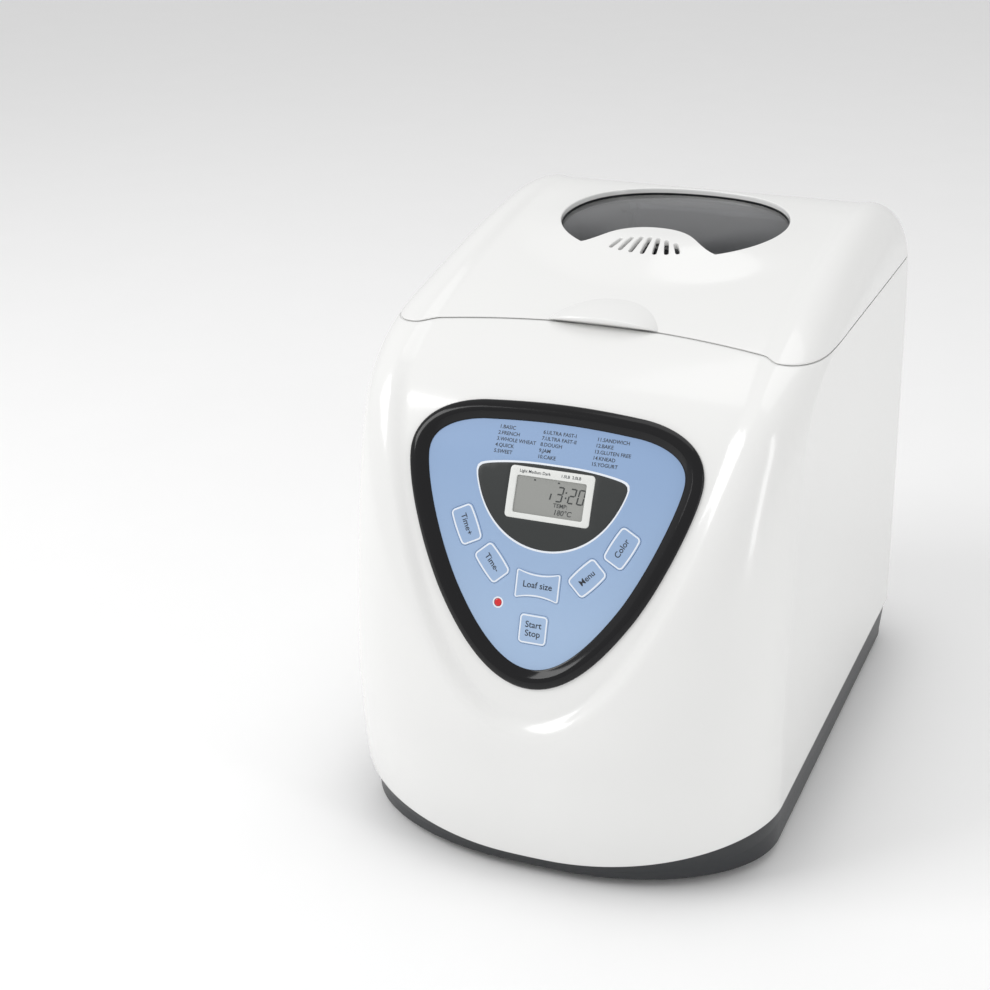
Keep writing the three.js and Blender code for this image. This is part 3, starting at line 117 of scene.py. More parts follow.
HALF, FRONT, BACK = WIDTH / 2, -DEPTH / 2, DEPTH / 2
CENTRE_Z = HEIGHT / 2
SEAM_Z = HEIGHT - SEAM_DROP_FROM_TOP
CHAMBER_Y = BACK - CHAMBER_SETBACK
WINDOW_Y = CHAMBER_Y + WINDOW_BEHIND
HINGE_Y = BACK - HINGE_SETBACK
PANEL_Y = FRONT + PANEL_SETBACK
PANEL_Z = HEIGHT - PANEL_DROP_FROM_TOP


# ---- materials ---------------------------------------------------------------------
def finish_of(
    name,
    color,
    roughness,
    metallic=0.0,
    coat=0.0,
    mottle=0.04,
    grain=700,
    relief=0.02,
    deep=None,
    shine=0.5,
):
    """A surface whose colour, gloss and relief vary finely over it.

    deep is a second colour that the surface shades to towards the top of the panel."""
    made = bpy.data.materials.new(name)
    made.use_nodes = True
    nodes, links = made.node_tree.nodes, made.node_tree.links
    shader = nodes["Principled BSDF"]
    shader.inputs["Metallic"].default_value = metallic
    shader.inputs["Specular IOR Level"].default_value = shine
    shader.inputs["Coat Weight"].default_value = coat
    shader.inputs["Coat Roughness"].default_value = 0.06
    place = nodes.new("ShaderNodeTexCoord")
    fine = nodes.new("ShaderNodeTexNoise")
    fine.inputs["Scale"].default_value = grain
    fine.inputs["Detail"].default_value = 3
    broad = nodes.new("ShaderNodeTexNoise")
    broad.inputs["Scale"].default_value = 14
    broad.inputs["Detail"].default_value = 2
    for noise in (fine, broad):
        links.new(place.outputs["Object"], noise.inputs["Vector"])
    tint = nodes.new("ShaderNodeMix")
    tint.data_type = "RGBA"
    tint.inputs["A"].default_value = (*[c * (1 - mottle) for c in color], 1)
    tint.inputs["B"].default_value = (*[min(c * (1 + mottle), 1) for c in color], 1)
    links.new(broad.outputs["Fac"], tint.inputs["Factor"])
    base = tint.outputs["Result"]
    if deep:
        base = shade_upwards(nodes, links, place, base, deep)
    links.new(base, shader.inputs["Base Color"])
    gloss = nodes.new("ShaderNodeMapRange")
    gloss.inputs["To Min"].default_value = roughness * 0.85
    gloss.inputs["To Max"].default_value = roughness * 1.15
    links.new(fine.outputs["Fac"], gloss.inputs["Value"])
    links.new(gloss.outputs["Result"], shader.inputs["Roughness"])
    bump = nodes.new("ShaderNodeBump")
    bump.inputs["Strength"].default_value = relief
    bump.inputs["Distance"].default_value = 0.0002
    links.new(fine.outputs["Fac"], bump.inputs["Height"])
    links.new(bump.outputs["Normal"], shader.inputs["Normal"])
    return made


def shade_upwards(nodes, links, place, base, deep):
    """Mixes base towards deep between the panel's tip and its top."""
    split = nodes.new("ShaderNodeSeparateXYZ")
    links.new(place.outputs["Object"], split.inputs["Vector"])
    rise = nodes.new("ShaderNodeMapRange")
    rise.inputs["From Min"].default_value = (PANEL_Z - 60) * MM
    rise.inputs["From Max"].default_value = (PANEL_Z + 45) * MM
    links.new(split.outputs["Z"], rise.inputs["Value"])
    mix = nodes.new("ShaderNodeMix")
    mix.data_type = "RGBA"
    mix.inputs["B"].default_value = (*deep, 1)
    links.new(rise.outputs["Result"], mix.inputs["Factor"])
    links.new(base, mix.inputs["A"])
    return mix.outputs["Result"]


def tinted_glass():
    made = finish_of("tinted_glass", (0.3, 0.32, 0.35), 0.03, mottle=0.02, relief=0.0)
    shader = made.node_tree.nodes["Principled BSDF"]
    shader.inputs["Transmission Weight"].default_value = 1
    shader.inputs["IOR"].default_value = 1.45
    return made


WHITE = finish_of("white_gloss", (0.83, 0.83, 0.82), 0.2, coat=0.35, mottle=0.01, relief=0.015)
DECK = finish_of("white_satin", (0.74, 0.74, 0.73), 0.42, mottle=0.02, relief=0.06)
BASE_BLACK = finish_of("base_black", (0.022, 0.024, 0.027), 0.38, mottle=0.1, relief=0.12)
BEZEL_BLACK = finish_of("bezel_black", (0.006, 0.006, 0.007), 0.13, mottle=0.1, relief=0.01, shine=0.3)
BLUE = finish_of("panel_blue", (0.36, 0.49, 0.69), 0.34, mottle=0.02, relief=0.05, deep=(0.23, 0.35, 0.57))
LENS = finish_of("lens_charcoal", (0.028, 0.031, 0.031), 0.3, mottle=0.06, relief=0.03)
PRINT_WHITE = finish_of("print_white", (0.8, 0.84, 0.9), 0.4, mottle=0.02)
PRINT_BLACK = finish_of("print_black", (0.02, 0.025, 0.035), 0.45, mottle=0.1)
FRAME_WHITE = finish_of("display_frame_white", (0.76, 0.77, 0.75), 0.3, mottle=0.02)
SCREEN = finish_of("screen_grey", (0.31, 0.315, 0.3), 0.14, coat=0.4, mottle=0.08, relief=0.01)
SEGMENT = finish_of("screen_segment", (0.045, 0.05, 0.05), 0.3, mottle=0.1)
LIGHT_RED = finish_of("lamp_red", (0.66, 0.012, 0.016), 0.18, coat=0.5, mottle=0.1)
GLASS = tinted_glass()
RUBBER = finish_of("foot_rubber", (0.02, 0.02, 0.021), 0.8, mottle=0.15, relief=0.3)
STEEL = finish_of("sheet_steel", (0.5, 0.51, 0.52), 0.34, metallic=0.95, mottle=0.06, relief=0.04)
BAR = finish_of("bright_steel", (0.62, 0.63, 0.64), 0.22, metallic=1.0, mottle=0.04, relief=0.02)
ALUMINIUM = finish_of("liner_aluminium", (0.66, 0.67, 0.68), 0.36, metallic=0.95, mottle=0.05, relief=0.05)
COATING = finish_of("pan_coating", (0.06, 0.063, 0.068), 0.36, metallic=0.35, mottle=0.12, relief=0.12)
SHEATH = finish_of("heater_sheath", (0.12, 0.105, 0.095), 0.5, metallic=0.7, mottle=0.2, relief=0.1)
BRASS = finish_of("brass", (0.52, 0.38, 0.16), 0.35, metallic=0.95, mottle=0.1)
BOARD = finish_of("circuit_board", (0.03, 0.13, 0.06), 0.5, mottle=0.2, relief=0.1)
CERAMIC = finish_of("ceramic", (0.66, 0.62, 0.53), 0.5, mottle=0.06, relief=0.1)


# ---- meshes ------------------------------------------------------------------------
def add_piece(name, vertices, faces, material, body, stands_for=(), sharp=32):
    """A mesh piece from millimetre vertices, smooth but for its edges above sharp degrees."""
    mesh = bpy.data.meshes.new(name)
    points = (np.asarray(vertices, float) * MM).tolist()
    mesh.from_pydata(points, [], [list(map(int, face)) for face in faces])
    tidy(mesh, sharp)
    mesh.materials.append(material)
    piece = bpy.data.objects.new(name, mesh)
    bpy.context.scene.collection.objects.link(piece)
    if body:
        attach(piece, body)
    if stands_for:
        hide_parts(*stands_for)
    return piece


def tidy(mesh, sharp):
    """Merges doubled vertices and marks the edges above sharp degrees."""
    work = bmesh.new()
    work.from_mesh(mesh)
    bmesh.ops.remove_doubles(work, verts=work.verts, dist=1e-7)
    bmesh.ops.dissolve_degenerate(work, edges=work.edges, dist=1e-8)
    bmesh.ops.recalc_face_normals(work, faces=work.faces)
    for face in work.faces:
        face.smooth = True
    for edge in work.edges:
        flat = len(edge.link_faces) != 2
        edge.smooth = not flat and edge.calc_face_angle(0) < math.radians(sharp)
    work.to_mesh(mesh)
    work.free()


def cut(piece, cutter, sharp=32):
    """Cuts piece by cutter, which is used up."""
    change = piece.modifiers.new("cut", "BOOLEAN")
    change.operation = "DIFFERENCE"
    change.solver = "EXACT"
    change.object = cutter
    ready = bpy.context.evaluated_depsgraph_get()
    mesh = bpy.data.meshes.new_from_object(piece.evaluated_get(ready))
    piece.modifiers.clear()
    piece.data = mesh
    tidy(mesh, sharp)
    bpy.data.objects.remove(cutter)


class Solid:
    """Vertices and faces gathered loop by loop."""

    def __init__(self):
        self.vertices = []
        self.faces = []

    def loop(self, points):
        start = len(self.vertices)
        self.vertices.extend(np.asarray(points, float).tolist())
        return list(range(start, len(self.vertices)))

    def bridge(self, a, b, closed=True):
        count = len(a)
        for i in range(count if closed else count - 1):
            j = (i + 1) % count
            self.faces.append((a[i], a[j], b[j], b[i]))

    def cap(self, loop):
        middle = np.mean([self.vertices[i] for i in loop], axis=0)
        centre = self.loop([middle])[0]
        for i, a in enumerate(loop):
            self.faces.append((a, loop[(i + 1) % len(loop)], centre))

    def tube(self, rings, capped=True):
        """Skins a row of rings, closed on itself or with a cap at each end."""
        loops = [self.loop(ring) for ring in rings]
        for a, b in zip(loops, loops[1:]):
            self.bridge(a, b)
        if capped:
            self.cap(loops[0])
            self.cap(loops[-1])
        else:
            self.bridge(loops[-1], loops[0])
        return self


def turned(profile, centre, segments=64, axis="Z"):
    """A turned solid: profile is radius and height, from the axis round to the axis."""
    solid = Solid()
    angles = np.linspace(0, TAU, segments, endpoint=False)
    rings = []
    for radius, height in profile:
        radius = max(radius, 0.01)
        ring = np.stack([radius * np.cos(angles), radius * np.sin(angles), np.full(segments, height)], 1)
        rings.append(ring if axis == "Z" else ring[:, [0, 2, 1]])
    solid.tube([ring + np.array(centre, float) for ring in rings])
    return solid


# ---- the hood: the one surface that every casing piece follows -------------------------
# y, z, half width of the flat middle, depth of the rounded edge, depth of the shield
RIBS = np.array(
    [
        (FRONT + 5, 8, 12, 66, 0),
        (FRONT + 0.7, (HEIGHT - 222) / 2, 12, 66, 0),
        (FRONT, HEIGHT - 234, 14, 66, 3),
        (FRONT + 0.9, HEIGHT - 211, 21, 65, 4.5),
        (FRONT + 7, HEIGHT - 186, 34, 62, 5),
        (FRONT + 15.5, HEIGHT - 161, 50, 58, 4.5),
        (FRONT + 23.5, HEIGHT - 141, 64, 54, 4),
        (FRONT + 32.5, HEIGHT - 120, 76, 49, 3),
        (FRONT + 42.5, HEIGHT - 98, 85, 44, 2.5),
        (FRONT + 54.5, HEIGHT - 77, 91, 36, 2),
        (FRONT + 70, HEIGHT - 57.5, 95, 27, 2),
        (FRONT + 93, HEIGHT - 42.5, 96.5, 18, 2),
        (FRONT + 119.5, HEIGHT - 32, 97.5, 14, 2),
        (BACK - 193, HEIGHT - 22.5, 97.5, 18, 2),
        (BACK - 153, HEIGHT - 13.5, 97.5, 22, 2),
        (BACK - 113, HEIGHT - 6.5, 97.5, 25, 2),
        (BACK - 76, HEIGHT - 3, 97.5, 26, 1.5),
        (BACK - 45, HEIGHT - 5.5, 97, 27, 0.8),
        (BACK - 21, HEIGHT - 17, 96, 28, 0),
        (BACK - 6, HEIGHT - 38, 94, 30, 0),
        (BACK - 1, HEIGHT - 70, 90, 30, 0),
        (BACK, HEIGHT - 120, 88, 30, 0),
        (BACK, (HEIGHT - 112) / 2, 88, 30, 0),
        (BACK - 1, 8, 88, 30, 0),
    ]
)


def along_ribs(t):
    """The ribs' values at t from 0 to 1, on a uniform Catmull-Rom curve."""
    last = len(RIBS) - 1
    place = np.clip(t, 0, 1) * last
    i = np.floor(place).astype(int)
    w = (place - i)[..., None]
    before, here = RIBS[np.maximum(i - 1, 0)], RIBS[i]
    after, beyond = RIBS[np.minimum(i + 1, last)], RIBS[np.minimum(i + 2, last)]
    leave, arrive = (after - before) / 2, (beyond - here) / 2
    cubic = 2 * here - 2 * after + leave + arrive
    square = -3 * here + 3 * after - 2 * leave - arrive
    return ((cubic * w + square) * w + leave) * w + here


def smooth(value):
    value = np.clip(value, 0, 1)
    return value * value * (3 - 2 * value)


def inside_shield(x, z):
    """Distance inside the shield's outline, a point at the foot with straight sides above."""
    h = z - SHIELD_FOOT
    side = SHIELD_HALF_WIDTH - np.abs(x)
    foot = (80 * h - 0.13 * h * h - x * x) / np.hypot(2 * x, 80 - 0.26 * h)
    return np.where(h > 157, side, np.minimum(side, foot))


def swell(x, y, z):
    """How far the lid stands up round its window."""
    across = np.hypot(x / SWELL_HALF_WIDTH, (y - CHAMBER_Y) / SWELL_HALF_DEPTH)
    frontness = smooth((CHAMBER_Y + SWELL_FADE_FROM - y) / SWELL_FADE)
    return np.where(z < CENTRE_Z, 0, WINDOW_RAISE * frontness * smooth((1 - across) * SWELL_STEEPNESS))


def rib_frame(t):
    """The rib at t, with the y and z of the profile's outward normal there."""
    rib = along_ribs(t)
    ahead, behind = along_ribs(np.minimum(t + 1e-4, 1)), along_ribs(np.maximum(t - 1e-4, 0))
    step = ahead[..., :2] - behind[..., :2]
    step /= np.linalg.norm(step, axis=-1, keepdims=True)
    return rib, -step[..., 1], step[..., 0]


def sunk(x, fall, inset, at):
    """A point at x of the rib frame at, fall and inset below it, with the shield and the swell."""
    rib, normal_y, normal_z = at
    y, z, sink = rib[..., 0], rib[..., 1], np.maximum(rib[..., 4], 0)
    deep = inset + fall + sink * smooth(inside_shield(x, z) / SHIELD_EDGE) - swell(x, y, z)
    return np.stack([x + 0 * deep, y - normal_y * deep, z - normal_z * deep], -1)


def hood(t, s, inset=0.0):
    """A point on the hood: t along the profile, s across it.

    s is 0 in the middle, 1 where the edge starts to round and 2 on the flank."""
    t, s, inset = np.broadcast_arrays(np.asarray(t, float), s, inset)
    at = rib_frame(t)
    flat, depth = at[0][..., 2], at[0][..., 3]
    turn = np.clip(np.abs(s) - 1, 0, 1) * math.pi / 2
    x = np.sign(s) * (np.minimum(np.abs(s), 1) * flat + (HALF - inset - flat) * np.sin(turn))
    return sunk(x, depth * (1 - np.cos(turn)), inset, at)


def hood_over(x, t, inset):
    """A point on the hood at a given x."""
    at = rib_frame(t)
    flat, depth = at[0][..., 2], at[0][..., 3]
    out = np.clip((np.abs(x) - flat) / (HALF - inset - flat), 0, 1)
    return sunk(x, depth * (1 - np.sqrt(1 - out**2)), inset, at)


def on_hood(x, reach, inset, origin, direction, low, high):
    """Points on the hood whose y and z, taken along direction from origin, come to reach."""
    x, reach, inset = np.broadcast_arrays(np.asarray(x, float), reach, inset)
    low, high = np.full(x.shape, low), np.full(x.shape, high)
    for _ in range(34):
        middle = (low + high) / 2
        point = hood_over(x, middle, inset)
        along = (point[..., 1] - origin[0]) * direction[0] + (point[..., 2] - origin[1]) * direction[1]
        short = along < reach
        low, high = np.where(short, middle, low), np.where(short, high, middle)
    return hood_over(x, (low + high) / 2, inset)


def on_panel(x, u, inset):
    """The hood over panel point (x, u), inset below its surface."""
    up = (math.sin(PANEL_LEAN), math.cos(PANEL_LEAN))
    return on_hood(x, u, inset, (PANEL_Y, PANEL_Z), up, 0.03, 0.6)


def on_top(x, y, inset):
    """The lid's top over plan point (x, y), inset below its surface."""
    return on_hood(x, y, inset, (0, 0), (1, 0), 0.36, 0.86)


def seam_z(x):
    """Height of the arched lid seam."""
    return SEAM_Z - SEAM_ARCH * (x / HALF) ** 2


def skirt_z(x):
    """Height of the white casing's arched lower edge."""
    return SKIRT_Z + SKIRT_ARCH * (x / HALF) ** 2


# ---- casing skins ----------------------------------------------------------------------
def crossing(s, inset, measure, first):
    """For each s, the first (or last) t where measure of the hood's point is above zero."""
    t = np.linspace(0, 1, 1800)
    points = hood(t[:, None], s[None, :], inset)
    value = measure(points)
    above = value > 0
    found = []
    for column in range(len(s)):
        rows = np.nonzero(above[:, column])[0]
        i = rows[0] if first else rows[-1]
        j = i - 1 if first else i + 1
        a, b = value[i, column], value[j, column]
        found.append(t[i] + (t[j] - t[i]) * a / (a - b))
    return np.array(found)


def lip_steps(length, count, radius):
    """Distances along a strip of each length, close together where its two ends round over."""
    bend = radius * (1 - np.cos(np.linspace(0, math.pi / 2, 5)))
    shares = np.linspace(0, 1, count)[1:-1]
    rows = [np.full_like(length, d) for d in bend]
    rows += [bend[-1] + (length - 2 * bend[-1]) * share for share in shares]
    rows += [length - d for d in bend[::-1]]
    return np.array(rows)


def lip_drop(distance, radius):
    """How far a rounded lip has fallen at a distance from the edge."""
    inward = np.clip(radius - distance, 0, radius)
    return radius - np.sqrt(radius**2 - inward**2)


def strip(s, start, end, count, inset, radius):
    """Grid of t values, rows from start to end at equal steps of length, with the rows' lip drops."""
    share = np.linspace(0, 1, 300)[:, None]
    t = start + (end - start) * share
    points = hood(t, s[None, :], inset)
    travel = np.vstack([0 * s, np.cumsum(np.linalg.norm(np.diff(points, axis=0), axis=2), axis=0)])
    steps = lip_steps(travel[-1], count, radius)
    grid = np.array([np.interp(steps[:, c], travel[:, c], t[:, c]) for c in range(len(s))]).T
    near = np.minimum(steps, travel[-1] - steps)
    return grid, lip_drop(near, radius)


def across(flat_steps, round_steps):
    """Values of s from flank to flank, with steps for the flat middle and each round edge."""
    flat = np.linspace(-1, 1, flat_steps + 1)
    bend = np.linspace(1, 2, round_steps + 1)[1:]
    return np.concatenate([-bend[::-1], flat, bend])


def body_rows(inset, count, radius):
    """Rings round the body from its skirt to its mouth."""
    outside = lambda p: np.minimum(p[..., 2] - seam_z(p[..., 0]), HINGE_Y - p[..., 1])
    above_skirt = lambda p: p[..., 2] - skirt_z(p[..., 0])
    sides = []
    for s, first in ((across(110, 44), True), (across(40, 22), False)):
        low = crossing(s, inset, above_skirt, first)
        high = crossing(s, inset, outside, first)
        grid, drop = strip(s, low, high, count, inset, radius)
        sides.append(hood(grid, s[None, :], inset + drop))
    return ringed(sides)


def ringed(sides):
    """Rings from the front's and the back's rows, joined across the two flat flanks."""
    front, back = sides[0], sides[1][:, ::-1]
    share = np.linspace(0, 1, 40)[1:-1, None]
    rows = []
    for a, b in zip(front, back):
        right = a[-1] + (b[0] - a[-1]) * share
        left = b[-1] + (a[0] - b[-1]) * share
        rows.append(np.vstack([a, right, b, left]))
    return rows


def make_body_skin():
    solid = Solid()
    outer = body_rows(0, 118, SEAM_ROUND)
    inner = body_rows(WALL, 10, 0.01)
    solid.tube(outer + inner[::-1], capped=False)
    skin = add_solid("body_skin", solid, WHITE, "housing", ["body_shell"])
    opening = panel_solid(shield_outline(BEZEL_RIM - FASCIA_LAP - GAP), 4, -8)
    cut(skin, add_solid("opening", opening, WHITE, None))
    gland = node_box("cord_gland")
    middle = (gland[0] + gland[1]) / 2
    radius = (gland[1][0] - gland[0][0]) / 2 - 1.6
    bore = [(0, -20), (radius, -20), (radius, 20), (0, 20)]
    hole = turned(bore, (middle[0], BACK, middle[2]), axis="Y")
    cut(skin, add_solid("hole", hole, WHITE, None))


def lid_grid(inset, count, radius):
    """Rows over the lid from its front seam to its rear edge, carried down the flat flanks."""
    s = across(110, 26)
    region = lambda p: np.minimum(p[..., 2] - seam_z(p[..., 0]) - SEAM_GAP, LID_BACK - p[..., 1])
    start = crossing(s, inset, region, True)
    end = crossing(s, inset, region, False)
    grid, drop = strip(s, start, end, count, inset, radius)
    points = hood(grid, s[None, :], inset + drop)
    floor_z = float(seam_z(HALF)) + SEAM_GAP
    fall = points[:, -1, 2] - floor_z
    bend = radius * (1 - np.cos(np.linspace(0, math.pi / 2, 4)))
    columns = []
    for below in [fall * 0.5] + [np.maximum(fall - d, fall * 0.5) for d in bend[::-1]]:
        near = np.maximum(fall - below, 0)
        column = points[:, -1].copy()
        column[:, 2] -= np.maximum(below, 0)
        column[:, 0] = HALF - inset - np.maximum(lip_drop(near, radius), drop[:, -1])
        columns.append(column)
    right = np.stack(columns, 1)
    left = right[:, ::-1] * np.array([-1, 1, 1])
    return np.concatenate([left, points, right], 1)


def make_lid_skin():
    outer, inner = lid_grid(0, 130, SEAM_ROUND), lid_grid(WALL, 130, 0.01)
    solid = Solid()
    tops = [solid.loop(row) for row in outer]
    unders = [solid.loop(row) for row in inner]
    for rows in (tops, unders):
        for a, b in zip(rows, rows[1:]):
            solid.bridge(a, b, closed=False)
    for a, b in ((tops[0], unders[0]), (tops[-1], unders[-1])):
        solid.bridge(a, b, closed=False)
    for side in (0, -1):
        solid.bridge([row[side] for row in tops], [row[side] for row in unders], closed=False)
    skin = add_solid("lid_skin", solid, WHITE, "lid", ["lid_shell"])
    cut(skin, add_solid("window", surface_cutter(window_outline, 0.9), WHITE, None))
    for i in range(SLOT_COUNT):
        slot = surface_cutter(lambda grow, i=i: slot_outline(i, grow), 0.35)
        cut(skin, add_solid("slot", slot, WHITE, None))


def surface_cutter(outline_at, radius):
    """A cutter down through the lid that rounds the edge it leaves."""
    solid = Solid()
    bend = np.linspace(0, math.pi / 2, 5)
    levels = [(radius, CUTTER_RISE)]
    levels += [(radius * (1 - math.sin(a)), -radius * (1 - math.cos(a)) + 0.02) for a in bend]
    levels.append((0, -14))
    rings = []
    for grow, height in levels:
        outline = outline_at(grow)
        rings.append(on_top(outline[:, 0], outline[:, 1], 0) + np.array([0, 0, height]))
    return solid.tube(rings)


def window_outline(grow):
    """Oval with an arch-shaped bite at its front, in plan."""
    a, b, corner = WINDOW_HALF_WIDTH + grow, WINDOW_HALF_DEPTH + grow, WINDOW_CORNER_X + grow
    start = math.asin(corner / a)
    turn = np.linspace(-math.pi / 2 + start, 1.5 * math.pi - start, 120)
    oval = np.stack([a * np.cos(turn), WINDOW_Y + b * np.sin(turn)], 1)
    foot = WINDOW_Y - b * math.cos(start)
    apex = foot + WINDOW_ARCH_RISE - grow
    left = bezier((-corner, foot), (-corner * 0.62, foot + 3), (-corner * 0.55, apex), (0, apex))
    right = left[::-1] * np.array([-1, 1])
    return np.vstack([oval[:-1], left[:-1], right])


def slot_outline(i, grow):
    """One vent slot in plan; the slots fan out towards the front."""
    off = i - (SLOT_COUNT - 1) / 2
    length = SLOT_LENGTH / 2 - SLOT_SHORTEN * off * off + grow
    width = SLOT_WIDTH / 2 + grow
    corners = rounded_box(width, length, width * 0.9, 6)
    turn = off * SLOT_FAN
    c, s = math.cos(turn), math.sin(turn)
    turned_points = corners @ np.array([[c, s], [-s, c]])
    return turned_points + np.array([off * SLOT_PITCH, WINDOW_Y - WINDOW_HALF_DEPTH + SLOT_SETBACK])


# ---- outlines ----------------------------------------------------------------------------
def bezier(a, b, c, d, count=24):
    """Points on a cubic curve from a to d."""
    t = np.linspace(0, 1, count)[:, None]
    a, b, c, d = (np.array(p, float) for p in (a, b, c, d))
    return a * (1 - t) ** 3 + 3 * b * t * (1 - t) ** 2 + 3 * c * t * t * (1 - t) + d * t**3


def rounded_box(half_x, half_y, corner, steps=8):
    """Counter-clockwise rectangle with round corners, about the origin."""
    points = []
    for k, (sx, sy) in enumerate(((1, 1), (-1, 1), (-1, -1), (1, -1))):
        for turn in np.linspace(0, math.pi / 2, steps) + k * math.pi / 2:
            x = sx * (half_x - corner) + corner * math.cos(turn)
            y = sy * (half_y - corner) + corner * math.sin(turn)
            points.append((x, y))
    return np.array(points)


def mirrored(right):
    """A closed outline from its right half, which runs from the bottom middle to the top middle."""
    return np.vstack([right, right[-2:0:-1] * np.array([-1, 1])])


def shield_outline(inset):
    """A triangle standing on its tip, with bulging sides and round corners."""
    w, top, tip = BEZEL_HALF_WIDTH, BEZEL_TOP, BEZEL_TIP
    side, shoulder, brow = (w * 0.645, tip + 39), (w, top - 30.3), (w * 0.55, top - 2)
    right = [
        bezier((0, tip), (w * 0.253, tip), (w * 0.462, tip + 17.2), side),
        bezier(side, (w * 0.815, tip + 59.1), (w, top - 44.7), shoulder)[1:],
        bezier(shoulder, (w, top - 13.3), (w * 0.8, top - 4.3), brow)[1:],
        bezier(brow, (w * 0.35, top - 0.67), (w * 0.17, top), (0, top), 12)[1:],
    ]
    return offset(mirrored(np.vstack(right)), inset)


def lens_outline(inset):
    """Half-moon: bowed top, round bottom."""
    w, low = LENS_HALF_WIDTH - inset, LENS_BOTTOM + inset
    corner = LENS_TOP - 4 - inset
    right = bezier((0, low), (w * 0.42, low), (w * 0.86, low + 11), (w, corner), 30)
    top = bezier((w, corner), (w * 0.6, corner + 4), (w * 0.3, corner + 4), (0, corner + 4), 20)
    return soften(mirrored(np.vstack([right, top[1:]])), 3)


def soften(points, times):
    """Rounds the corners of a closed outline, leaving its long curves where they are."""
    for _ in range(times):
        points = (points + np.roll(points, 1, 0) * 0.5 + np.roll(points, -1, 0) * 0.5) / 2
    return points


def offset(points, distance):
    """A closed counter-clockwise outline drawn in by distance."""
    ahead, behind = np.roll(points, -1, 0), np.roll(points, 1, 0)
    run = ahead - behind
    run /= np.linalg.norm(run, axis=1, keepdims=True)
    return points + np.stack([-run[:, 1], run[:, 0]], 1) * distance


# ---- plates that follow a surface --------------------------------------------------------------
def contains(loop, points):
    """Which points lie inside a closed outline."""
    x, y = points[:, 0, None], points[:, 1, None]
    ax, ay = loop[:, 0], loop[:, 1]
    bx, by = np.roll(ax, -1), np.roll(ay, -1)
    straddles = (ay > y) != (by > y)
    with np.errstate(divide="ignore", invalid="ignore"):
        crosses = x < (bx - ax) * (y - ay) / (by - ay) + ax
    return (straddles & crosses).sum(1) % 2 == 1


def plate(lay, outline, holes, top, bottom, edge=0.3, spacing=3.0):
    """A sheet between two depths below a surface, with its outer and hole edges rounded."""
    loops = [outline] + [hole[::-1] for hole in holes]
    inner = [offset(loop, edge) for loop in loops]
    low, high = outline.min(0), outline.max(0)
    xs = np.arange(low[0], high[0], spacing)
    ys = np.arange(low[1], high[1], spacing)
    field = np.stack(np.meshgrid(xs, ys), -1).reshape(-1, 2)
    keep = contains(outline, field)
    for hole in holes:
        keep &= ~contains(hole, field)
    rim = KDTree(sum(len(loop) for loop in inner))
    for i, point in enumerate(np.vstack(inner)):
        rim.insert((*point, 0), i)
    rim.balance()
    keep &= np.array([rim.find((*point, 0))[2] > spacing * 0.45 for point in field])
    field = field[keep]
    flat = np.vstack(inner + [field])
    edges, start, spans = [], 0, []
    for loop in inner:
        count = len(loop)
        edges += [(start + i, start + (i + 1) % count) for i in range(count)]
        spans.append(range(start, start + count))
        start += count
    found = delaunay_2d_cdt([Vector(p) for p in flat], edges, [], 1, 1e-6)
    new_of = {old: new for new, olds in enumerate(found[3]) for old in olds}
    points = np.array([tuple(p) for p in found[0]])
    solid = Solid()
    over = solid.loop(lay(points[:, 0], points[:, 1], top))
    below = points.copy()
    for span, loop in zip(spans, loops):
        for old, point in zip(span, loop):
            below[new_of[old]] = point
    under = solid.loop(lay(below[:, 0], below[:, 1], bottom))
    middles = np.array([points[list(face)].mean(0) for face in found[2]])
    inside = contains(inner[0], middles)
    for loop in inner[1:]:
        inside &= ~contains(loop, middles)
    for (a, b, c), kept in zip(found[2], inside):
        if kept:
            solid.faces.append((over[a], over[b], over[c]))
            solid.faces.append((under[c], under[b], under[a]))
    for span, loop in zip(spans, loops):
        last = [over[new_of[i]] for i in span]
        for a in np.linspace(math.pi / 2, 0, 4)[1:]:
            ring = offset(loop, edge * (1 - math.cos(a)))
            here = solid.loop(lay(ring[:, 0], ring[:, 1], top + edge * (1 - math.sin(a))))
            solid.bridge(last, here)
            last = here
        solid.bridge(last, [under[new_of[i]] for i in span])
    return solid


def panel_solid(outline, rise, depth):
    """A plain prism through the panel's surface, for cutting."""
    solid = Solid()
    rings = [on_panel(outline[:, 0], outline[:, 1], -height) for height in (rise, depth)]
    return solid.tube(rings)


def panel_ring(outline_at, profile):
    """A closed section swept round an outline; each point of it is inset and height."""
    rings = []
    for inset, height in profile:
        outline = outline_at(inset)
        rings.append(on_panel(outline[:, 0], outline[:, 1], -height))
    return Solid().tube(rings, capped=False)


def add_solid(name, solid, material, body, stands_for=(), sharp=32):
    """A mesh piece from a Solid."""
    return add_piece(name, solid.vertices, solid.faces, material, body, stands_for, sharp)


# ---- lettering ---------------------------------------------------------------------------------
PRINT_THICK = 0.05
READOUT_SLANT = 0.14  # of the figures on the screen
LETTER_WEIGHT = 0.008  # how much bolder the lines are, as a share of the size


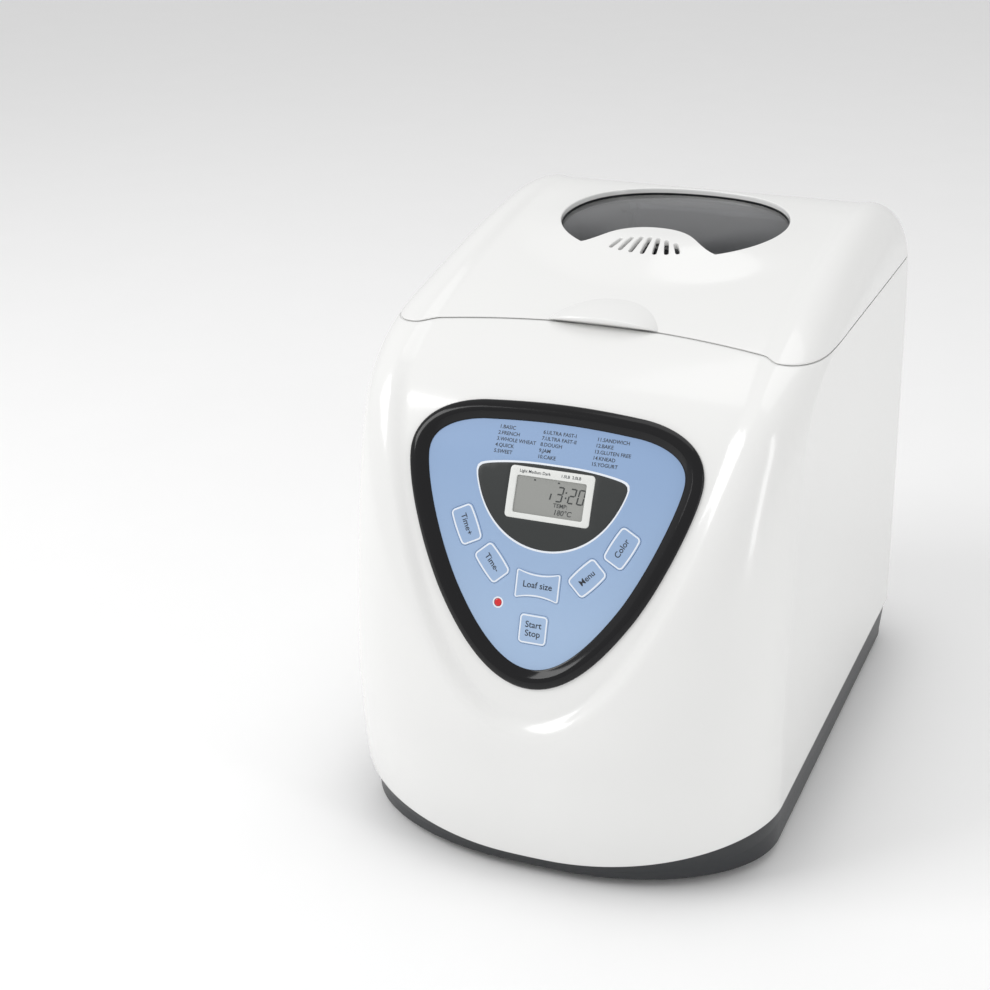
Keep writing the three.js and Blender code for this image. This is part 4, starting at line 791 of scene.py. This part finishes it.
def lettering(text, size, place, turn=0.0, inset=0.0, align="LEFT", slant=0.0):
    """Raised lettering that follows the panel: a solid with place as its anchor."""
    curve = bpy.data.curves.new("words", "FONT")
    curve.body = text
    curve.size = size
    curve.align_x = align
    curve.align_y = "CENTER"
    curve.extrude = PRINT_THICK / 2
    curve.shear = slant
    curve.offset = size * LETTER_WEIGHT
    curve.resolution_u = 3
    words = bpy.data.objects.new("words", curve)
    bpy.context.scene.collection.objects.link(words)
    ready = bpy.context.evaluated_depsgraph_get()
    mesh = bpy.data.meshes.new_from_object(words.evaluated_get(ready))
    points = np.array([v.co for v in mesh.vertices])
    faces = [tuple(face.vertices) for face in mesh.polygons]
    bpy.data.objects.remove(words)
    c, s = math.cos(turn), math.sin(turn)
    x = place[0] + points[:, 0] * c - points[:, 1] * s
    u = place[1] + points[:, 0] * s + points[:, 1] * c
    solid = Solid()
    solid.loop(on_panel(x, u, inset - points[:, 2] - PRINT_THICK / 2))
    solid.faces = faces
    return solid


def joined(solids):
    """One Solid of several."""
    whole = Solid()
    for solid in solids:
        start = len(whole.vertices)
        whole.vertices.extend(solid.vertices)
        whole.faces.extend(tuple(i + start for i in face) for face in solid.faces)
    return whole


SEGMENTS = {"0": "abcdef", "2": "abged", "3": "abgcd"}


def digit(figure, x, u, width, height, inset):
    """A leaning seven-segment figure with its lower left corner at (x, u)."""
    bar = height * 0.09
    half = height / 2
    boxes = {
        "a": (bar, height, width - bar, height - bar),
        "g": (bar, half + bar / 2, width - bar, half - bar / 2),
        "d": (bar, bar, width - bar, 0),
        "f": (0, height - bar / 2, bar, half + bar / 3),
        "b": (width - bar, height - bar / 2, width, half + bar / 3),
        "e": (0, half - bar / 3, bar, bar / 2),
        "c": (width - bar, half - bar / 3, width, bar / 2),
    }
    made = []
    for name in SEGMENTS[figure]:
        x0, u0, x1, u1 = boxes[name]
        made.append(flat_box((x0, min(u0, u1)), (x1, max(u0, u1)), (x, u), inset))
    return joined(made)


def flat_box(low, high, place, inset):
    """A slanted rectangle printed on the panel at place."""
    corners = np.array([(low[0], low[1]), (high[0], low[1]), (high[0], high[1]), (low[0], high[1])])
    xs = place[0] + corners[:, 0] + corners[:, 1] * READOUT_SLANT
    us = place[1] + corners[:, 1]
    return Solid().tube([on_panel(xs, us, inset), on_panel(xs, us, inset - PRINT_THICK)])


# ---- control panel --------------------------------------------------------------------------------
# centre on the panel, half sizes, tilt, waist, label
KEYS = {
    "key_time_up": ((-41.8, -19.8), (6, 9.8), 27, 0, "Time+"),
    "key_time_down": ((-25.8, -36.8), (6, 9.4), 42, 0, "Time-"),
    "key_size": ((-0.4, -44.7), (12, 7.8), 0, 1.9, "Loaf size"),
    "key_menu": ((25, -37), (6, 9.4), -42, 0, "Menu"),
    "key_crust": ((41, -20), (6, 9.8), -27, 0, "Color"),
    "key_start": ((-0.2, -66.6), (7.7, 7.6), 0, 0, "Start\nStop"),
}
PROGRAMS = (
    (-32.5, 30.8, "1.BASIC\n2.FRENCH\n3.WHOLE WHEAT\n4.QUICK\n5.SWEET"),
    (-9, 30.8, "6.ULTRA FAST-I\n7.ULTRA FAST-II\n8.DOUGH\n9.JAM\n10.CAKE"),
    (19.5, 30.8, "11.SANDWICH\n12.BAKE\n13.GLUTEN FREE\n14.KNEAD\n15.YOGURT"),
)
KEY_GAP = 0.1  # round the keys and the lens, in the fascia
KEY_LINE_INSET, KEY_LINE_OUTSET = 1.15, 0.45  # the printed ring's two growths


def key_outline(name, grow):
    """A key's outline on the panel, made larger by grow."""
    centre, half, tilt, waist, _ = KEYS[name]
    w, h = half[0] + grow, half[1] + grow
    corner = 2.4 if not waist else 1.8
    points = rounded_box(w, h, corner + grow, 7)
    points = resampled(points, 1.2)
    if waist:
        narrowing = waist * (1 - (points[:, 0] / w) ** 2) * np.abs(points[:, 1] / h)
        points[:, 1] -= np.sign(points[:, 1]) * narrowing
    elif tilt:
        points[:, 0] *= 1 + 0.1 * (1 - (points[:, 1] / h) ** 2)
    turn = math.radians(tilt)
    c, s = math.cos(turn), math.sin(turn)
    return points @ np.array([[c, s], [-s, c]]) + np.array(centre)


def resampled(points, step):
    """A closed outline with its long runs cut into steps."""
    made = []
    for a, b in zip(points, np.roll(points, -1, 0)):
        count = max(1, int(np.linalg.norm(b - a) / step))
        made += [a + (b - a) * k / count for k in range(count)]
    return np.array(made)


def make_bezel():
    profile = [(0, 0.05), (0, 0.6), (0.2, 1.05), (0.6, 1.4), (1.8, 1.85), (2.6, BEZEL_RISE - 0.08)]
    profile += [(3.4, BEZEL_RISE), (5.2, BEZEL_RISE), (5.9, 1.9), (8.8, -0.1), (9.3, -0.5)]
    profile += [(BEZEL_RIM, -0.62), (BEZEL_RIM, -0.74), (6.2, -0.74), (5.2, 0.05)]
    ring = panel_ring(shield_outline, profile)
    add_solid("bezel_ring", ring, BEZEL_BLACK, "housing", ["control_bezel"], sharp=50)


def make_fascia():
    holes = [lens_outline(-KEY_GAP), led_outline(LED_R + KEY_GAP)]
    holes += [key_outline(name, KEY_GAP) for name in KEYS]
    outline = shield_outline(BEZEL_RIM - FASCIA_LAP)
    sheet = plate(on_panel, outline, holes, FASCIA_SINK, FASCIA_SINK + 2, edge=0.18)
    add_solid("fascia_membrane", sheet, BLUE, "housing", ["panel_fascia"])
    words = []
    for x, u, text in PROGRAMS:
        for row, line in enumerate(text.split("\n")):
            words.append(lettering(line, 2.6, (x - row * 0.15, u - row * 3.05), inset=FASCIA_SINK))
    add_solid("program_names", joined(words), PRINT_BLACK, "housing")


def led_outline(radius):
    """The red light's circle."""
    turn = np.linspace(0, TAU, 32, endpoint=False)
    return np.stack([LED_PLACE[0] + radius * np.cos(turn), LED_PLACE[1] + radius * np.sin(turn)], 1)


def printed_ring(outline_at, inner, outer, base):
    """A printed line between two growths of an outline, a hair above the surface."""
    top = PRINT_THICK - base
    return panel_ring(outline_at, [(outer, -base), (outer, top), (inner, top), (inner, -base)])


def make_display():
    slot = rounded_box(FRAME_SIZE[0] / 2, FRAME_SIZE[1] / 2, 2)
    lens = plate(on_panel, lens_outline(0), [resampled(slot, 3)], FASCIA_SINK, FASCIA_SINK + 2, edge=0.15)
    add_solid("lens_plate", lens, LENS, "housing", ["display_lens"])
    line = printed_ring(lens_outline, -0.75, 0.2, FASCIA_SINK)
    add_solid("lens_line", line, PRINT_WHITE, "housing")
    surround = resampled(rounded_box(FRAME_SIZE[0] / 2 - 0.05, FRAME_SIZE[1] / 2 - 0.05, 2), 3)
    window = resampled(rounded_box(SCREEN_SIZE[0] / 2, SCREEN_SIZE[1] / 2, 1), 3)
    window[:, 1] -= 0.9
    surround = plate(on_panel, surround, [window], FASCIA_SINK - 0.25, FASCIA_SINK + 1.8, edge=0.35)
    add_solid("display_surround", surround, FRAME_WHITE, "housing", ["display_frame"])
    glass = resampled(rounded_box(SCREEN_SIZE[0] / 2 + 0.6, SCREEN_SIZE[1] / 2 + 0.6, 1), 3)
    glass[:, 1] -= 0.9
    glass = plate(on_panel, glass, [], FASCIA_SINK + 0.45, FASCIA_SINK + 1.7, edge=0.1)
    add_solid("screen_plate", glass, SCREEN, "housing", ["display_screen"])
    make_readout(FASCIA_SINK + 0.45)
    lamp = plate(on_panel, led_outline(LED_R), [], 0.55, 2.6, edge=0.7, spacing=0.8)
    add_solid("lamp_lens", lamp, LIGHT_RED, "housing", ["indicator_light"])
    ring = printed_ring(lambda inset: led_outline(LED_R - inset), -0.85, -0.12, FASCIA_SINK)
    add_solid("lamp_line", ring, PRINT_WHITE, "housing")


def make_readout(inset):
    """Time, temperature and the two setting marks on the screen."""
    marks = [digit(f, x, -2.4, 3.7, 7.8, inset) for f, x in (("3", 2.6), ("2", 9.2), ("0", 14))]
    marks.append(flat_box((0, 0), (0.7, 3), (-0.2, -1.6), inset))
    marks += [flat_box((0, 0), (0.8, 0.8), (7.9, u), inset) for u in (-0.2, 2.4)]
    marks += [flat_box((0, 0), (1, 0.7), (x, 6.6), inset) for x in (-9.5, 3.2)]
    words = [
        lettering("TEMP:", 2.9, (2.4, -4.2), inset=inset),
        lettering("180°C", 3.7, (2.8, -7.6), inset=inset, slant=READOUT_SLANT),
    ]
    add_solid("screen_marks", joined(marks + words), SEGMENT, "housing")
    settings = (("Light Medium Dark", -17.5), ("1.5LB  2.0LB", 4.5))
    legend = [lettering(t, 2.1, (x, 10.6), inset=FASCIA_SINK - 0.25) for t, x in settings]
    add_solid("setting_names", joined(legend), PRINT_BLACK, "housing")


def make_key(name):
    centre, half, tilt, waist, label = KEYS[name]
    body = name + "_cap"
    cap_top = FASCIA_SINK - 0.28
    cap = plate(on_panel, key_outline(name, 0), [], cap_top, FASCIA_SINK + 2.2, edge=0.45, spacing=2)
    add_solid(name + "_pad", cap, BLUE, body, [name], sharp=50)
    line = printed_ring(lambda inset: key_outline(name, -inset), KEY_LINE_INSET, KEY_LINE_OUTSET, cap_top)
    add_solid(name + "_line", line, PRINT_WHITE, body)
    turn = math.radians(tilt - 90 if tilt > 0 else tilt + 90 if tilt < 0 else 0)
    rows = label.split("\n")
    words = []
    for row, text in enumerate(rows):
        drop = (row - (len(rows) - 1) / 2) * 4.4
        size = 4.5 if len(rows) > 1 or waist else 4.3
        words.append(lettering(text, size, (centre[0], centre[1] - drop), turn, cap_top, "CENTER"))
    add_solid(name + "_label", joined(words), PRINT_BLACK, body)


# ---- lid details -------------------------------------------------------------------------------------
def make_window():
    outline, face = window_outline(GLASS_LAP - 1), WALL + 0.5
    pane = plate(on_top, outline, [], face, face + GLASS_THICK, edge=0.3, spacing=4)
    add_solid("window_pane", pane, GLASS, "lid", ["window_glass"])
    seal = []
    for inset, depth in ((-1.2, WALL + 0.35), (-1.2, WALL - 0.15), (0.5, WALL - 0.15), (0.5, WALL + 0.35)):
        outline = window_outline(-inset)
        seal.append(on_top(outline[:, 0], outline[:, 1], depth))
    add_solid("window_seal", Solid().tube(seal, capped=False), BASE_BLACK, "lid")


def lid_front(x):
    """The lid's front edge at x."""
    return on_hood(x, seam_z(np.asarray(x, float)) + SEAM_GAP, 0, (0, 0), (0, 1), 0.2, 0.7)


def make_thumb_tab():
    """A lip over the seam: flat on top, falling away to nothing at its two ends."""
    half, reach, thick, tuck = 30, 8.5, 6, 5.5
    rings = []
    for share in np.linspace(-1, 1, 61):
        x = share * half
        bulge = max(1 - abs(share) ** 2.4, 0.0) ** 0.75
        edge = lid_front(np.array([x]))[0]
        out = edge[1] - reach * bulge
        low = edge[2] + 0.1
        high = low + thick * bulge
        behind = on_hood(x, high + 0.5 * bulge, 0.3, (0, 0), (0, 1), 0.2, 0.7)
        soft = 1.5 * bulge + 0.01
        ring = [(x, edge[1] + 3, low), (x, out + tuck * bulge + soft * 0.4, low)]
        for a in np.linspace(-math.pi * 0.25, math.pi * 0.42, 8):
            ring.append((x, out + soft - soft * math.cos(a), high - soft + soft * math.sin(a) - 0.3 * bulge))
        ring += [(x, behind[1], behind[2]), (x, behind[1] + 2, behind[2] - 2.5)]
        rings.append(ring)
    add_solid("thumb_tab", Solid().tube(rings), WHITE, "lid")


# ---- base -----------------------------------------------------------------------------------------------
def plan_ring(inset, z):
    """The casing's plan at its foot, drawn in by inset."""
    front_flat, front_round = RIBS[0][2], RIBS[0][3]
    back_flat, back_round = RIBS[-1][2], RIBS[-1][3]
    turn = np.linspace(-math.pi / 2, math.pi / 2, 121)
    x = np.sign(turn) * front_flat + (HALF - inset - front_flat) * np.sin(turn)
    front = np.stack([x, FRONT + inset + front_round * (1 - np.cos(turn))], 1)
    turn = np.linspace(math.pi / 2, -math.pi / 2, 61)
    x = np.sign(turn) * back_flat + (HALF - inset - back_flat) * np.sin(turn)
    back = np.stack([x, BACK - inset - back_round * (1 - np.cos(turn))], 1)
    plan = np.vstack([front, back])
    return np.column_stack([plan, np.full(len(plan), z)])


def skirt_rows(inset, floor):
    """Rings round the foot, from the casing's arched edge down to the underside."""
    sides = []
    for s, foot in ((across(110, 44), 0), (across(40, 22), 1)):
        edge = crossing(s, inset, lambda p: p[..., 2] - skirt_z(p[..., 0]) + GAP, foot == 0)
        grid = edge + (foot - edge) * np.linspace(0, 1, 10)[:, None]
        height = hood(grid, s[None, :], inset)[..., 2]
        taper = SKIRT_TAPER * np.clip(1 - (height - floor) / (SKIRT_Z + SKIRT_ARCH), 0, 1)
        points = hood(grid, s[None, :], inset + taper)
        lowest = points[-1:].copy()
        lowest[..., 2] = floor
        sides.append(np.concatenate([points, lowest]))
    return ringed(sides)


def make_skirt(floor):
    """The black skirt that shows below the casing's arched edge and tapers to the underside."""
    rows = skirt_rows(BASE_INSET, floor) + skirt_rows(BASE_INSET + BASE_WALL, floor)[::-1]
    add_solid("base_skirt", Solid().tube(rows, capped=False), BASE_BLACK, "housing")


def make_base():
    low, high = node_box("base_tray")
    floor, top = low[2], high[2]
    fit = WALL + GAP + FRONT_LEAN_IN
    foot, shoulder = fit + BASE_TAPER, floor + BASE_SHOULDER
    outer = [plan_ring(foot + 12, floor + 0.2), plan_ring(foot + 2.5, floor)]
    for turn in (0.5, 1, 1.57):
        inset, rise = BASE_ROUND * (1 - math.sin(turn)), BASE_ROUND * (1 - math.cos(turn))
        outer.append(plan_ring(foot + inset, floor + rise))
    outer += [plan_ring(fit, shoulder), plan_ring(fit, top)]
    inner = [plan_ring(fit + BASE_WALL, top), plan_ring(fit + BASE_WALL, shoulder)]
    inner.append(plan_ring(foot + BASE_WALL, floor + BASE_WALL))
    tray = Solid().tube(outer + inner)
    add_solid("base_skin", tray, BASE_BLACK, "housing", ["base_tray"])
    make_skirt(floor)
    for name in ("foot_front_left", "foot_front_right", "foot_back_left", "foot_back_right"):
        make_foot(name)


def make_foot(name):
    """A turned rubber foot with a hollow under its middle."""
    low, high = node_box(name)
    radius, height = (high[0] - low[0]) / 2, high[2] - low[2]
    profile = [(0, 0.6), (radius - 4, 0.6), (radius - 3.4, 0), (radius - 1, 0), (radius, 1.2)]
    profile += [(radius - 1.5, height), (0, height)]
    foot = turned(profile, ((low[0] + high[0]) / 2, (low[1] + high[1]) / 2, low[2]))
    add_solid(name + "_pad", foot, RUBBER, "housing", [name])


# ---- CAD nodes that are shown as they are ----------------------------------------------------------------
NODE_FINISH = {
    DECK: ["top_deck"],
    BASE_BLACK: ["cord_gland", "large_pulley", "transformer"],
    RUBBER: ["drive_belt"],
    STEEL: ["hinge_bracket_left", "hinge_bracket_right", "lid_hinge_left", "lid_hinge_right"],
    BAR: ["hinge_pin_left", "hinge_pin_right", "rivet_left", "rivet_right", "pan_handle"],
    ALUMINIUM: ["lid_liner", "pan_foot", "motor_pulley", "display_module", "motor", "chassis_plate"],
    COATING: ["bread_pan", "kneading_paddle"],
    SHEATH: ["heating_element"],
    BRASS: ["temperature_sensor", "drive_bearing", "pan_bearing"],
    BOARD: ["control_board", "power_board"],
    CERAMIC: ["thermal_fuse"],
}
NODE_FINISH[STEEL] += ["baking_chamber"]
NODE_FINISH[BASE_BLACK] += ["post_front_left", "post_front_right", "post_back_left", "post_back_right"]
NODE_FINISH[BAR] += ["drive_shaft", "drive_coupling", "motor_shaft", "paddle_shaft", "pan_coupling"]


def dress_nodes():
    for made, names in NODE_FINISH.items():
        for name in names:
            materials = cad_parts[name].data.materials
            materials.clear()
            materials.append(made)


# ---- camera, lights and floor ---------------------------------------------------------------
CAMERA_AZIMUTH, CAMERA_ELEVATION = math.radians(19.64), math.radians(25)
CAMERA_PLACE = (0.30927, -0.84651, 0.55112)
CAMERA_LENS = 63.36
CAMERA_SHIFT = (-0.1566, 0.0253)
FLOOR_REACH = 4000


def make_camera():
    """The photo's viewpoint."""
    data = bpy.data.cameras.new("camera")
    data.sensor_width = 36
    data.lens = CAMERA_LENS
    data.shift_x, data.shift_y = CAMERA_SHIFT
    camera = bpy.data.objects.new("camera", data)
    bpy.context.scene.collection.objects.link(camera)
    aside, ahead = math.sin(CAMERA_AZIMUTH), math.cos(CAMERA_AZIMUTH)
    level = math.cos(CAMERA_ELEVATION)
    back = Vector((aside * level, -ahead * level, math.sin(CAMERA_ELEVATION)))
    right = Vector((ahead, aside, 0))
    up = back.cross(right)
    turn = Matrix((right, up, back)).transposed().to_4x4()
    camera.matrix_world = Matrix.Translation(CAMERA_PLACE) @ turn
    bpy.context.scene.camera = camera


def add_light(name, place, aim, size, power, tall=None):
    data = bpy.data.lights.new(name, "AREA")
    data.energy = power
    data.shape = "RECTANGLE"
    data.size = size
    data.size_y = tall or size
    light = bpy.data.objects.new(name, data)
    bpy.context.scene.collection.objects.link(light)
    light.location = place
    light.rotation_euler = (Vector(aim) - Vector(place)).to_track_quat("-Z", "Y").to_euler()


def make_stage():
    solid = Solid()
    steps = np.linspace(-FLOOR_REACH, FLOOR_REACH, 9)
    rows = [solid.loop([(x, y, -0.5) for x in steps]) for y in steps]
    for a, b in zip(rows, rows[1:]):
        solid.bridge(a, b, closed=False)
    paper = finish_of("floor_paper", (0.95, 0.95, 0.95), 0.7, mottle=0.01, grain=80)
    floor = add_piece("floor", solid.vertices, solid.faces, paper, None)
    world = bpy.data.worlds.new("studio")
    world.use_nodes = True
    world.node_tree.nodes["Background"].inputs["Color"].default_value = (1, 1, 1, 1)
    world.node_tree.nodes["Background"].inputs["Strength"].default_value = 0.68
    scene = bpy.context.scene
    scene.world = world
    scene.view_settings.view_transform = "Standard"
    add_light("key", (-1.2, -0.8, 1.3), (0, 0, 0.15), 0.9, 12)
    add_light("strip", (1.2, -0.5, 0.45), (0, 0, 0.2), 0.16, 2.6, tall=1.2)
    add_light("over", (0.1, 0.4, 1.9), (0, 0, 0.2), 1.2, 5)


make_camera()
make_stage()
make_body_skin()
make_lid_skin()
make_thumb_tab()
make_bezel()
make_fascia()
make_display()
for key in KEYS:
    make_key(key)
make_window()
make_base()
dress_nodes()
